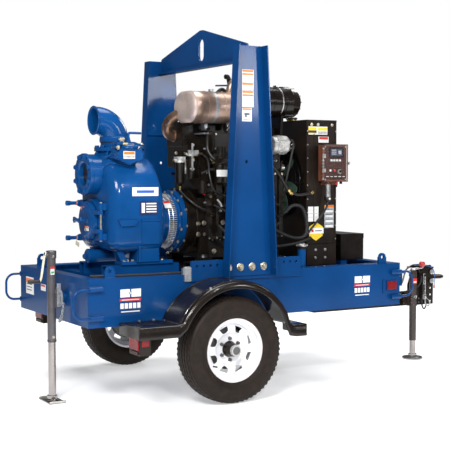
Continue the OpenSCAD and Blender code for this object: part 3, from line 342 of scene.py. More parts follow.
    def done(self, angle=32):
        """Makes the object, joins it to its body and hides the CAD parts it replaces."""
        bm = self.bm
        bmesh.ops.remove_doubles(bm, verts=bm.verts, dist=1e-6)
        bmesh.ops.recalc_face_normals(bm, faces=bm.faces)
        mesh = bpy.data.meshes.new(self.name)
        bm.to_mesh(mesh)
        bm.free()
        obj = bpy.data.objects.new(self.name, mesh)
        bpy.context.scene.collection.objects.link(obj)
        used = sorted({p.material_index for p in mesh.polygons})
        for i in used:
            mesh.materials.append(M[MATERIAL_ORDER[i]])
        remap = {old: new for new, old in enumerate(used)}
        for p in mesh.polygons:
            p.material_index = remap[p.material_index]
            p.use_smooth = True
        mesh.set_sharp_from_angle(angle=math.radians(angle))
        if self.bevel:
            mod = obj.modifiers.new("edges", "BEVEL")
            mod.width = self.bevel * MM
            mod.segments = self.segments
            mod.limit_method = "ANGLE"
            mod.angle_limit = math.radians(40)
            mod.harden_normals = True
        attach(obj, self.body)
        if self.replaced:
            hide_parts(*self.replaced)


def spline(path, steps):
    """Catmull-Rom points through a path."""
    p = [Vector(q) for q in path]
    out = []
    for i in range(len(p) - 1):
        a, b, c, d = p[max(i - 1, 0)], p[i], p[i + 1], p[min(i + 2, len(p) - 1)]
        for k in range(steps):
            t = k / steps
            out.append(0.5 * (2 * b + (c - a) * t + (2 * a - 5 * b + 4 * c - d) * t * t
                              + (3 * b - a - 3 * c + d) * t ** 3))
    return out + [p[-1]]


def sweep_rings(pts, radius, n):
    """Rings of n points round a path, without twist. radius is a number or one per point."""
    rings, side = [], None
    for i, p in enumerate(pts):
        t = (pts[min(i + 1, len(pts) - 1)] - pts[max(i - 1, 0)]).normalized()
        side = t.orthogonal().normalized() if side is None else (side - t * side.dot(t)).normalized()
        other = t.cross(side)
        r = radius[i] if isinstance(radius, (list, tuple)) else radius
        rings.append([p + (side * math.cos(a) + other * math.sin(a)) * r
                      for a in (2 * math.pi * k / n for k in range(n))])
    return rings


def paint(node, mat):
    """Gives a carried-over CAD node its material."""
    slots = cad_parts[node].data.materials
    slots.clear()
    slots.append(M[mat])


def on_circle(count, radius, start=0.0):
    """Points (a, b) spaced evenly on a circle; start is in degrees."""
    for k in range(count):
        a = math.radians(start + 360 * k / count)
        yield radius * math.cos(a), radius * math.sin(a)


# ---------------------------------------------------------------- painted CAD nodes
for node, mat in {
    "side_beams": "blue", "cross_beams": "blue", "fuel_tank": "black", "tongue": "black",
    "hitch_bracket": "black", "lunette_eye": "black", "safety_chain": "steel", "axle": "black",
    "bail_plate": "blue", "uprights": "blue", "side_plates": "blue", "flap_valve": "rubber",
    "discharge_flange": "cast", "fill_screw": "cast", "impeller": "iron", "drive_shaft": "steel",
    "pump_bracket": "cast", "engine_block": "engine", "cylinder_head": "engine",
    "alternator_pulley": "black", "fan_belt": "rubber", "radiator": "radiator",
    "rear_jack_leg": "chrome", "front_jack_tube": "dark_jack", "rear_jack_tube": "jack",
    "front_jack_leg": "chrome", "battery_box": "fender", "battery": "fender",
    "battery_lid": "fender", "control_box": "brown", "corner_loops": "blue",
}.items():
    paint(node, mat)


# ---------------------------------------------------------------- wheels
AXLE_X, TYRE_R, WHEEL_Y = 898, 344, 787


def tyre(name, side):
    """Tyre with a grooved crown, lateral sipes, shoulder blocks and ribbed side walls."""
    p = Piece("tyre_" + name, "wheel_" + name, "tyre", ["tyre_" + name], bevel=0)
    p.use("tyre")
    c = (AXLE_X, side * WHEEL_Y, TYRE_R)
    half = [(0, 336), (5, 336), (6, 343), (26, 342.6), (27, 336), (34, 336), (35, 342), (56, 340),
            (57, 334), (63, 334), (64, 338.5), (80, 334), (88, 327), (94, 316), (98, 303), (101, 284),
            (101.5, 268), (100.4, 262), (101.2, 259), (100.4, 256), (98.5, 244), (93, 226), (90, 222),
            (88.5, 214), (84, 208), (78, 205), (74, 199), (70, 193.5)]
    outer = [(-w, r) for w, r in reversed(half[1:])] + half
    inner = [(66, 196), (72, 232), (78, 262), (72, 300), (40, 322), (-40, 322), (-72, 300), (-78, 262),
             (-72, 232), (-66, 196)]
    p.lathe(c, (0, 1, 0), outer + inner + [outer[0]], n=120, cap=False)
    for k in range(60):
        a = 2 * math.pi * (k + 0.5) / 60
        for low, high, r, lead in ((36, 55, 341.4, 0.012), (65, 84, 335, 0.0), (8, 25, 343, -0.012)):
            for s in (-1, 1):
                mid = s * (low + high) / 2
                shift = a + lead * s
                p.about(c, shift, "Y")
                p.slab((0, mid, r), (17 if low > 60 else 13, high - low, 3.2), turn_z=12 * s)
    p.straight()
    for r, w in ((316, 94.5), (246, 99.2), (232, 95.5)):
        for s in (-1, 1):
            p.torus((c[0], c[1] + s * w, c[2]), (0, 1, 0), r, 1.6, n=96, k=6)
    p.done(angle=28)


def wheel(name, side):
    """Eight-slot steel disc in a drop-centre rim, with hub, cap, studs and nuts."""
    c = Vector((AXLE_X, side * WHEEL_Y, TYRE_R))

    def y(v):
        """An offset along Y, outwards on this side."""
        return side * v

    p = Piece("wheel_" + name, "wheel_" + name, "wheel_silver", ["wheel_" + name], bevel=0.8)
    p.use("silver")
    rim = [(76, 208.5), (79, 206), (78, 199), (73, 189), (66, 186), (46, 184), (34, 168), (-16, 166),
           (-30, 176), (-44, 184), (-66, 186), (-73, 189), (-78, 199), (-79, 206), (-76, 208.5),
           (-73, 205), (-71, 194), (-60, 190), (-46, 189), (-33, 180), (-18, 171), (32, 173), (42, 188),
           (68, 190.4), (72, 196), (73, 205), (76, 208.5)]
    p.lathe(c, (0, side, 0), rim, n=96, cap=False)
    p.use("red")
    p.torus(c + Vector((0, y(78.6), 0)), (0, 1, 0), 202, 0.9, n=96, k=6)
    # pressed disc: rows of (radius, offset); faces inside the slots are left out
    p.use("silver")
    rows = [(52, 4), (60, 6), (92, 7), (102, 14), (112, 26), (122, 32), (134, 34), (146, 31), (157, 24),
            (164, 18), (170, 14), (170, 4)]
    n = 160
    for back in (0, 1):
        grid = []
        for r, d in rows:
            grid.append(p.verts([c + Vector((r * math.cos(t), y(d - 5 * back), r * math.sin(t)))
                                 for t in (2 * math.pi * k / n for k in range(n))]))
        for i in range(len(rows) - 1):
            for k in range(n):
                phase = ((k + 0.5) / n * 8) % 1
                width = {4: 0.17, 5: 0.25, 6: 0.28, 7: 0.26}.get(i, 0)
                if abs(phase - 0.5) < width:
                    continue
                j = (k + 1) % n
                p.face([grid[i][k], grid[i][j], grid[i + 1][j], grid[i + 1][k]], True)
    # slot walls: short rolled lips
    for s in range(8):
        mid = 2 * math.pi * (s + 0.5) / 8
        # rows of (radius, half angle, depth) up one side of the slot and down the other
        lip = ((113, 0.125, 26), (121, 0.18, 31.5), (133, 0.205, 34), (146, 0.215, 31), (156, 0.19, 24.6))
        loop = [(r, mid - w, d) for r, w, d in lip] + [(r, mid + w, d) for r, w, d in reversed(lip)]
        path = [c + Vector((r * math.cos(t), y(d - 1), r * math.sin(t))) for r, t, d in loop]
        p.tube(path + [path[0]], 2.6, n=6, smooth_steps=2, cap=False)
    # hub
    p.use("black")
    p.lathe(c, (0, side, 0), [(-20, 40), (4, 50), (10, 50), (14, 47), (62, 42), (68, 40), (74, 38), (78, 34)],
            n=40)
    p.use("steel")
    p.lathe(c, (0, side, 0), [(74, 36), (78, 37), (92, 36), (96, 34), (96, 26), (90, 25)], n=40, cap=False)
    p.use("iron")
    p.lathe(c, (0, side, 0), [(88, 28), (94, 24), (96, 18), (97, 0.5)], n=32)
    for a, b in on_circle(6, 69.85, 30):
        q = c + Vector((a, 0, b))
        p.lathe(q, (0, side, 0), [(5, 13), (12, 12), (13, 11.5)], 6, smooth=False)
        p.lathe(q, (0, side, 0), [(12, 11), (24, 9.5), (29, 6), (30, 0.4)], 12)
    p.use("rubber")
    p.rod(c + Vector((-150, y(60), -92)), (0.3, side, 0), 34, 5.5, 10)
    # brake drum and back plate behind the disc
    p.use("iron")
    p.lathe(c, (0, side, 0), [(-68, 60), (-68, 128), (-64, 134), (-14, 134), (-10, 128), (-6, 60)], n=48)
    p.done(angle=36)


for label, way in (("near", NEAR), ("far", FAR)):
    tyre(label, way)
    wheel(label, way)


# ---------------------------------------------------------------- fenders and lamps
def fender_path():
    """Centre line of a fender's top in X and Z: step, arch, step."""
    arch = [(AXLE_X + 446 * math.cos(math.radians(a)), TYRE_R + 446 * math.sin(math.radians(a)))
            for a in range(150, 26, -4)]
    return [(200, 543), (330, 543), (480, 543), (505, 546)] + arch + [(1306, 500), (1322, 486), (1345, 483),
                                                                     (1424, 483)]


def fenders():
    """Both fenders with their steps, beads and ribs, and the stays that hold them."""
    p = Piece("fenders", "chassis", "fender_black", ["fenders"], bevel=0)
    p.use("fender")
    path = [Vector((x, 0, z)) for x, z in fender_path()]
    # across section: (y, inward depth) of the upper skin, then the lower skin
    top = [(-621, 0), (-700, -0.5), (-800, -0.5), (-868, 0), (-884, 2), (-896, 8), (-902, 18), (-904, 30),
           (-905.5, 42), (-905, 46), (-898, 46), (-897, 40), (-896, 30), (-892, 20), (-884, 12), (-870, 7),
           (-800, 6), (-700, 6), (-621, 6)]
    for side in (1, -1):
        rings = []
        for i, q in enumerate(path):
            t = (path[min(i + 1, len(path) - 1)] - path[max(i - 1, 0)]).normalized()
            inward = Vector((t.z, 0, -t.x))
            deep = 1.7 if q.x < 500 or q.x > 1310 else 1.0
            rings.append([Vector((0, y * side, 0)) + q + inward * (d if d < 30 else d * deep)
                          for y, d in top])
        p.loft(rings)
        # raised bead along the arch and ribs on the rear step
        for y in (-640, -872):
            line = [q + Vector((0, y * side, 0)) + Vector((0, 0, 1.5)) for q in path[5:-5]]
            p.tube(line, 3.5, n=8, smooth_steps=1)
        for k in range(9):
            p.slab((225 + k * 28, -752 * side, 545), (10, 190, 4))
        p.slab((204, -763 * side, 507), (7, 282, 72))
        p.slab((1421, -763 * side, 446), (7, 282, 74))
    p.done(angle=40)
    s = Piece("fender_stays", "chassis", bevel=1)
    for side in (1, -1):
        s.use("blue")
        s.slab((380, -614 * side, 541), (160, 14, 6))
        s.slab((1365, -614 * side, 541), (70, 14, 118))
        s.use("zinc")
        for x in (330, 430):
            s.bolt((x, -640 * side, 545), (0, 0, 1), 8, 6)
        s.bolt((1395, -650 * side, 485), (0, 0, 1), 8, 6)
        s.bolt((700, -898 * side, 756), (0, -side, 0), 6, 3)
    s.done()


fenders()


def lamps():
    """Tail lamps at the rear and side markers at the front."""
    p = Piece("lamps", "chassis", "lamp_red", ["lamps"], bevel=2.5)
    for side in (1, -1):
        p.use("black")
        p.box((214, min(-742 * side, -888 * side), 368), (290, max(-742 * side, -888 * side), 506))
        p.slab((262, -815 * side, 517), (46, 50, 42))
        p.use("lens")
        p.slab((210, -815 * side, 448), (10, 128, 92))
        p.slab((206, -815 * side, 472), (8, 108, 20))
        p.slab((252, -889 * side, 448), (50, 3, 50))
        p.use("panel")
        p.slab((210, -815 * side, 384), (9, 110, 18))
        # front side marker in its frame, and its bracket
        p.use("navy")
        p.slab((2370, -610 * side, 660), (92, 10, 70))
        p.use("lens")
        p.slab((2370, -616 * side, 660), (78, 10, 56))
        p.use("blue")
        p.box((2290, min(-606 * side, -614 * side), 606), (2306, max(-606 * side, -614 * side), 702))
    p.done()


lamps()


# ---------------------------------------------------------------- frame dressing
def frame_details():
    """Welds, stake sockets, fuel neck, pump rails' bolts and wiring on the trailer frame."""
    p = Piece("frame_details", "chassis", bevel=1)
    p.use("blue")
    for side in (1, -1):
        y = -BEAM_Y * side
        for x in (152, 2296):
            p.tube([(x - 36, y + 10 * side, 820), (x, y + 9 * side, 821), (x + 36, y + 10 * side, 820)], 4, 6)
        for x0 in (0, 2356):
            for z in (577, 756):
                for s in (1, -1):
                    p.tube([(x0 + dx, y - 2 * side, z + s * dz)
                            for dx, dz in ((0, 16), (46, 17), (92, 16))], 3, 6)
        for x in (2, 2446):
            p.tube([(x, y + 2 * side, 518), (x, y + 2 * side, 660), (x, y + 2 * side, 817)], 3.5, 6)
        # weld beads where the uprights and the side plate meet the beam
        for x in (715, 1565):
            p.tube([(x, y - 4 * side, 772), (x, y - 4 * side, 838), (x, y - 4 * side, 904)], 3.5, 6)
        p.tube([(716, y - 6 * side, 770), (1140, y - 6 * side, 770), (1564, y - 6 * side, 770)], 3.5, 6)
    p.use("galv")
    # ribbed wiring block beside the near side plate
    p.slab((682, -600, 838), (46, 26, 42))
    for k in range(6):
        p.slab((664 + k * 7.4, -614, 838), (3.4, 4, 40))
    p.use("cast")
    p.ring((1680, -468, 820), (0, 0, 1), 136, 23.5, 29, 32)
    p.use("zinc")
    for x in (1140, 1320, 1500, 1700):
        for s in (1, -1):
            p.bolt((x, s * 215, 862), (0, 0, 1), 9, 7)
    for x in (450, 510, 670, 730):
        for s in (1, -1):
            p.bolt((x - 30, s * 190 - 36, 886), (0, 0, 1), 11, 9)
            p.bolt((x - 30, s * 190 + 36, 886), (0, 0, 1), 11, 9)
    p.use("loom")
    p.tube([(70, -470, 825), (300, -520, 824), (700, -530, 824), (1200, -500, 826), (1700, -380, 850)], 9, 8)
    p.tube([(2440, -90, 700), (2600, -70, 560), (2900, -66, 524), (3080, -68, 560), (3110, -75, 640)], 7, 8)
    p.done()


frame_details()


def fuel_cap():
    """Filler cap with a ribbed edge and a grip bar."""
    p = Piece("fuel_cap", "fuel_cap", "cap_steel", ["fuel_cap"], bevel=0.6)
    p.use("steel")
    c = (1680, -468, 957)
    p.lathe(c, (0, 0, 1), [(-12, 21), (0, 21), (0, 37), (3, 38.5), (13, 38.5), (16, 36), (17, 24), (15, 20),
                           (15, 0.5)], 48)
    for a, b in on_circle(18, 38.5):
        p.slab((1680 + a, -468 + b, 965), (5, 5, 10), turn_z=math.degrees(math.atan2(b, a)))
    p.slab((1680, -468, 977), (46, 9, 8))
    p.done()


fuel_cap()


# ---------------------------------------------------------------- bolts
def bolts():
    """Bolts of the uprights, the pump flanges and the housings."""
    p = Piece("bolts", "chassis", "bolt_zinc", ["bolts"], bevel=0.6)
    for side in (1, -1):
        for x in BOLT_XS:
            p.use("zinc")
            q = (x, -628 * side, BOLT_Z)
            p.lathe(q, (0, -side, 0), [(0, 26), (0.5, 27), (4, 27), (5, 25), (7, 22)], 32)
            p.lathe(q, (0, -side, 0), [(5, 18.5), (17, 18.5), (19.5, 15.5)], 6, smooth=False)
            p.rod((x, -606 * side, BOLT_Z), (0, side, 0), 14, 20, 6)
            p.rod((x, -632 * side, BOLT_Z), (0, side, 0), 48, 11.8)
    for a, b in on_circle(8, 120.65, 22.5):
        p.use("cast")
        p.bolt((222, a, PORT_Z + b), (-1, 0, 0), 15, 14)
        p.rod((212, a, PORT_Z + b), (1, 0, 0), 46, 9)
        p.bolt((460 + a, b, 1644), (0, 0, 1), 15, 14)
        p.rod((460 + a, b, 1612), (0, 0, 1), 40, 9)
    for a, b in on_circle(12, 200, 15):
        p.use("zinc")
        p.bolt((868, a, SHAFT_Z + b), (-1, 0, 0), 10, 8)
    for a, b in on_circle(10, 212):
        p.use("cast")
        p.bolt((724, a, SHAFT_Z + b), (1, 0, 0), 12, 11)
    p.done()


bolts()


# ---------------------------------------------------------------- pump
CASE_HW, CASE_TOP, CASE_BOT, FOOT_R = 281, 1590, 950, 70


def arch(inset, step=5, crown=0):
    """Arch-topped outline of the casing in Y and Z, moved inwards by inset and more by crown at the top."""
    r, zc = CASE_HW - inset, CASE_TOP - CASE_HW
    pts = []
    for a in range(0, 181, step):
        up = math.sin(math.radians(a))
        q = r - crown * min(1, 1.5 * up)
        pts.append((q * math.cos(math.radians(a)), zc + q * up))
    f = max(FOOT_R - inset, 6)
    for cx, a0 in ((-(CASE_HW - FOOT_R), 180), (CASE_HW - FOOT_R, 270)):
        pts += [(cx + f * math.cos(math.radians(a)), CASE_BOT + FOOT_R + f * math.sin(math.radians(a)))
                for a in range(a0, a0 + 91, 15)]
    return pts


def pump_casing():
    """Casing with its volute, collar, riser, hopper, ledges and feet."""
    p = Piece("pump_casing", "chassis", "pump_blue", ["pump_casing"], bevel=5, segments=3)
    p.use("cast")
    front, back, face_x, chamber_x, mouth_r = 84, 44, 310, 560, 94
    # mouth and chamber behind the front face; the flap still cuts the shell at its far limit
    mouth = [(mouth_r * math.cos(t), PORT_Z + mouth_r * math.sin(t))
             for t in (math.atan2(z - PORT_Z, y) for y, z in arch(front))]
    rings = [[(x, y, z) for y, z in mouth] for x in (chamber_x, face_x)]
    for k in range(9):
        t = math.radians(90 * k / 8)
        rings.append([(face_x + front * (1 - math.cos(t)), y, z) for y, z in arch(front * (1 - math.sin(t)))])
    rings.append([(520, y, z) for y, z in arch(0)])
    for k in range(7):
        t = math.radians(90 * k / 6)
        rings.append([(634 + (back + 16) * math.sin(t), y, z)
                      for y, z in arch(30 * (1 - math.cos(t)), crown=62 * (1 - math.cos(t)))])
    p.loft(rings)
    # volute bulging out of the lower body
    p.torus((566, 0, SHAFT_Z), (1, 0, 0), 194, 70, n=72, k=28)
    p.rod((690, 0, SHAFT_Z), (1, 0, 0), 14, 236, 64, 3)
    # suction hood and neck
    p.ring((247, 0, PORT_Z), (1, 0, 0), 100, 98, 134, 64, 5)
    # clean-out collar with studs' bosses
    p.ring((273, 0, COVER_Z), (1, 0, 0), 56, 117, 150, 64, 5)
    for a, b in on_circle(6, 136, 20):
        p.rod((276, a, COVER_Z + b), (1, 0, 0), 50, 22, 20)
    for s in (-1, 1):
        z = COVER_Z + s * 100
        p.slab((296, -185, z), (64, 26, 46))
        p.ring((272, -186, z - 23), (0, 0, 1), 46, 7.1, 17, 24)
        z = COVER_Z + s * 118
        p.slab((302, 138, z), (58, 62, 44))
    # riser to the discharge flange, with webs
    p.lathe((460, 0, 1470), (0, 0, 1), [(0, 196), (50, 190), (90, 170), (120, 140), (136, 120), (150, 118)],
            64, cap=False)
    for a in range(0, 360, 45):
        p.about((460, 0, 0), math.radians(a), "Z")
        p.prism([(108, 1618), (138, 1618), (150, 1596), (176, 1560), (110, 1500)], -7, 7)
        p.straight()
    # hopper of the fill port, coming to a point below its label, with raised ridges
    p.lathe((462, -206, 1534), (0, 0, 1), [(0, 20), (50, 36), (84, 42), (88, 66), (102, 66)], 48)
    p.prism([(352, 1574), (450, 1532), (552, 1568), (540, 1634), (386, 1634)], -258, -120)
    p.tube([(346, -238, 1582), (400, -246, 1554), (450, -248, 1532), (500, -247, 1550), (552, -240, 1570)],
           5, 10)
    p.tube([(330, -120, 1570), (352, -150, 1590), (380, -170, 1612)], 5, 10)
    for dx, top in ((-96, 1651), (96, 1646)):
        p.prism([(450 + dx, 1590), (474 + dx, 1590), (474 + dx, top - 10), (450 + dx, top - 10)], -228, -196)
        p.lathe((462 + dx, -228, top - 14), (0, 1, 0), [(0, 13), (1, 14), (31, 14), (32, 13)], 20)
    # ledges on the near and far sides
    for s in (-1, 1):
        for outline, y0, y1 in (([(352, 1165), (497, 1166), (474, 1126), (372, 1122)], 254, 298),
                                ([(520, 1166), (660, 1163), (660, 1150), (520, 1153)], 260, 289),
                                ([(524, 1153), (656, 1150), (656, 1000), (524, 1000)], 260, 284)):
            p.prism(outline, *sorted((s * y0, s * y1)))
    # drain, feet and their webs
    p.lathe((262, 36, 914), (1, 0, 0), [(0, 40), (6, 47), (300, 47)], 40)
    p.lathe((246, 56, 908), (1, 0, 0), [(0, 14), (6, 20), (18, 20)], 6, smooth=False)
    for s in (-1, 1):
        y = s * 190
        p.box((395, y - 56, 863), (775, y + 56, 886))
        p.prism([(500, 880), (668, 880), (660, 1030), (512, 1030)], *sorted((s * 130, s * 258)))
        p.prism([(508, 880), (522, 880), (522, 1080), (508, 1080)], *sorted((s * 130, s * 274)))
        p.prism([(344, 1000), (392, 1000), (446, 880), (402, 880)], *sorted((s * 150, s * 226)))
    p.done(angle=36)
    # dark inside behind the open port
    q = Piece("casing_inside", "chassis", bevel=0)
    q.use("iron")
    q.ring((262, 0, PORT_Z), (1, 0, 0), 62, 94, 98, 40)
    q.done()


def pump_parts():
    """Suction flange, clean-out cover with its handle and knobs, fill cover and its handle."""
    p = Piece("suction_flange", "chassis", "pump_blue", ["suction_flange"], bevel=1.2)
    p.use("cast")
    c = (222, 0, PORT_Z)
    p.lathe(c, (1, 0, 0), [(0, 88), (0, 104), (1.5, 106), (1.5, 138), (3.5, 140), (24, 140), (26, 138),
                           (26, 121), (39.5, 121), (39.5, 76.2), (8, 76.2), (0, 88)], 72, cap=False)
    for s in (-1, 1):
        p.box((260, s * 22 - 6, 1543), (281, s * 22 + 6, 1558))
    p.done()

    p = Piece("cleanout_cover", "cleanout_cover", "pump_blue", ["cleanout_cover"], bevel=2.5, segments=3)
    p.use("cast")
    z0 = COVER_Z
    p.lathe((271.5, 0, z0), (-1, 0, 0), [(0, 118), (0, 130), (3, 132), (22, 132), (27, 127), (28, 112),
                                         (34, 105), (37, 88), (38, 50), (38, 0.5)], 72)
    for a, b in on_circle(8, 96, 22.5):
        p.about((0, 0, z0), math.atan2(b, a))
        p.prism([(236, 40), (232, 60), (234, 100), (244, 122), (244, 40)], -5, 5)
        p.straight()
    for s in (-1, 1):
        z = z0 + s * 62
        p.prism([(-196, z - 13), (-196, z + 13), (-60, z + 20), (-60, z - 20)], 247, 265, "yz")
        p.ring((272, -186, z - 13), (0, 0, 1), 26, 7.2, 15, 28)
        z = z0 + s * 118
        p.prism([(60, z - s * 34), (60, z + s * 4), (104, z + s * 20), (150, z + s * 20), (150, z - s * 20)],
                246, 267, "yz")
    for s in (-1, 1):
        p.lathe((236, s * 44, z0 + 6), (-1, 0, 0), [(0, 17), (6, 14), (8, 10)], 20)
    p.tube([(238, -44, z0 + 6), (204, -44, z0 + 6), (186, -38, z0 + 6), (180, -22, z0 + 6), (180, 22, z0 + 6),
            (186, 38, z0 + 6), (204, 44, z0 + 6), (238, 44, z0 + 6)], 10, 14)
    for s in (-1, 1):
        p.prism([(s * 10, z0 - 4), (s * 16, z0 + 18), (s * 58, z0 + 28), (s * 66, z0 + 6), (s * 52, z0 - 14)],
                176, 190, "yz")
    p.use("zinc")
    p.rod((272, -186, z0 - 128), (0, 0, 1), 256, 6.9, 20)
    for s in (-1, 1):
        p.rod((272, -186, z0 + s * 126 - 4), (0, 0, 1), 8, 11, 20)
    p.use("ink")
    p.slab((238.5, 36, z0 + 74), (3, 66, 48))
    p.use("orange")
    p.slab((236.5, 36, z0 + 84), (2, 60, 24))
    p.use("film")
    p.slab((234.5, -38, z0 - 48), (2, 66, 32))
    p.use("orange")
    p.slab((233.3, -38, z0 - 40), (1.6, 60, 12))
    p.use("cream")
    p.slab((222, 96, z0 - 158), (2, 62, 30), turn_x=14)
    p.rod((226, 118, z0 - 118), (-0.2, -0.5, -0.8), 30, 1.4, 8)
    p.done()

    for name, z in (("upper", COVER_Z + 118), ("lower", COVER_Z - 118)):
        k = Piece("knob_" + name, "knob_" + name, "pump_blue", ["knob_" + name], bevel=1)
        k.use("steel")
        k.rod((228, 122, z), (1, 0, 0), 41, 7.9, 20)
        k.use("cast")
        k.lathe((246, 122, z), (-1, 0, 0), [(0, 14), (2, 16), (16, 16), (20, 13), (26, 12), (60, 13),
                                            (70, 15), (78, 17), (90, 17), (95, 13), (96, 0.5)], 32)
        for a, b in on_circle(6, 14.5):
            k.rod((152, 122 + a, z + b), (1, 0, 0), 26, 4, 8)
        k.use("orange")
        k.ring((224, 122, z), (1, 0, 0), 8, 12, 14.5, 24, 0.5)
        k.done()

    p = Piece("fill_cover", "fill_cover", "pump_blue", ["fill_cover"], bevel=2, segments=3)
    p.use("cast")
    c = (FILL_X, FILL_Y, 1637)
    p.lathe(c, (0, 0, 1), [(0, 60), (0, 65), (2, 67), (10, 66), (18, 60), (25, 46), (28, 24), (28, 0.5)], 64)
    p.prism([(390, 1649), (392, 1668), (430, 1680), (500, 1680), (548, 1664), (568, 1662), (568, 1650)],
            -226, -198)
    for s in (-1, 1):
        p.box((362, min(FILL_Y + s * 18, FILL_Y + s * 38), 1634),
              (382, max(FILL_Y + s * 18, FILL_Y + s * 38), 1674))
    p.prism([(372, 1660), (372, 1676), (404, 1678), (404, 1662)], -252, -172)
    p.use("yellow")
    p.slab((424, -239, 1667), (46, 3, 10))
    p.slab((470, -246, 1659), (40, 30, 3), turn_x=22)
    p.use("zinc")
    p.rod((366, -258, 1641), (0, 1, 0), 92, 6, 20)
    p.bolt((366, -258, 1641), (0, -1, 0), 10, 7)
    p.rod((558, FILL_Y, 1646), (0, 0, 1), 22, 9, 20)
    p.bolt((558, FILL_Y, 1662), (0, 0, 1), 13, 10)
    p.done()

    k = Piece("fill_screw", "fill_screw", "pump_blue", ["fill_screw"], bevel=0.8)
    k.use("steel")
    k.rod((FILL_X, FILL_Y, 1654), (0, 0, 1), 30, 8.8, 20)
    k.use("cast")
    k.lathe((FILL_X, FILL_Y, 1678), (0, 0, 1), [(0, 16), (11, 16), (13, 12), (14, 9)], 24)
    k.tube([(FILL_X, FILL_Y, 1690), (FILL_X, FILL_Y, 1722), (466, FILL_Y, 1735), (478, FILL_Y, 1739),
            (548, FILL_Y, 1738)],
           8.4, 14)
    k.ball((548, FILL_Y, 1738), 9)
    k.done()


pump_casing()
pump_parts()


def discharge():
    """Open elbow with a rolled lip, its coupling ring and gasket line."""
    p = Piece("discharge_elbow", "chassis", "pump_blue", ["discharge_elbow"], bevel=1, segments=3)
    p.use("cast")
    bend, outer, inner, steps, sides = 136, 93, 81, 22, 56
    centre = Vector((RISER_X - bend, 0, 1690))
    angles = [2 * math.pi * j / sides for j in range(sides)]

    def section(out, r):
        return [centre + out * bend + (out * math.cos(b) + Vector((0, 1, 0)) * math.sin(b)) * r
                for b in angles]

    ways = [Vector((math.cos(a), 0, math.sin(a)))
            for a in (math.radians(90 * k / steps) for k in range(steps + 1))]
    rows_out = [section(way, outer) for way in ways]
    rows_in = [section(way, inner) for way in ways]
    down = Vector((0, 0, -6))
    first_out = [q + down for q in rows_out[0]]
    first_in = [q + down for q in rows_in[0]]
    end = centre + Vector((0, 0, bend))
    lip = [[end + Vector((dx, math.sin(b) * r, math.cos(b) * r)) for b in angles]
           for dx, r in ((-10, 93), (-14, 97), (-20, 99), (-24, 96), (-24, 88), (-21, 82.5), (-14, 81))]
    p.loft([first_out] + rows_out + lip + list(reversed(rows_in)) + [first_in, first_out], cap=False)
    p.ring((RISER_X, 0, 1681), (0, 0, 1), 32, 81, 104, 64, 3)
    p.torus((RISER_X, 0, 1714), (0, 0, 1), 97, 5, n=64)
    p.use("rubber")
    p.ring((RISER_X, 0, 1677), (0, 0, 1), 6, 82, 101, 56)
    p.use("zinc")
    for s in (-1, 1):
        p.slab((RISER_X, s * 108, 1697), (26, 16, 26))
        p.bolt((RISER_X - 13, s * 112, 1697), (-1, 0, 0), 8, 8)
        p.bolt((RISER_X + 13, s * 112, 1697), (1, 0, 0), 8, 8)
    p.use("iron")
    p.ring((RISER_X, 0, 1640), (0, 0, 1), 40, 76, 81, 40, 0.3)
    p.done(angle=40)


discharge()


def bracket_details():
    """Guard of lengthwise wires round the open adapter between pump and engine, with a small sticker."""
    p = Piece("guard_mesh", "chassis", bevel=0)
    p.use("mesh")
    for k in range(80):
        a = 2 * math.pi * k / 80
        p.tube([(x, r * math.cos(a), SHAFT_Z + r * math.sin(a)) for x, r in ((788, 176), (838, 190))], 2.6,
               n=5, smooth_steps=1)
    for x, r in ((788, 176), (813, 183.5)):
        p.torus((x, 0, SHAFT_Z), (1, 0, 0), r, 2.8, n=72, k=6)
    p.use("cast")
    p.lathe((750, 0, SHAFT_Z), (1, 0, 0), [(0, 150), (2, 168), (38, 178), (40, 172), (40, 150)], 64,
            cap=False)
    p.ring((838, 0, SHAFT_Z), (1, 0, 0), 12, 170, 194, 56)
    p.use("film")
    p.slab((786, -142, 1256), (52, 3, 60), turn_x=-40)
    p.use("redfilm")
    p.slab((786, -130, 1272), (50, 3, 20), turn_x=-40)
    p.done()


bracket_details()


# ---------------------------------------------------------------- engine
MUF_Y, MUF_Z = -180, 1925


def oval(r):
    """Muffler section: two half circles 100 mm apart."""
    pts, n = [], 56
    for k in range(n):
        a = 2 * math.pi * k / n
        pts.append((50 * (1 if math.cos(a) > 0 else -1) + r * math.cos(a), 0.96 * r * math.sin(a)))
    return pts


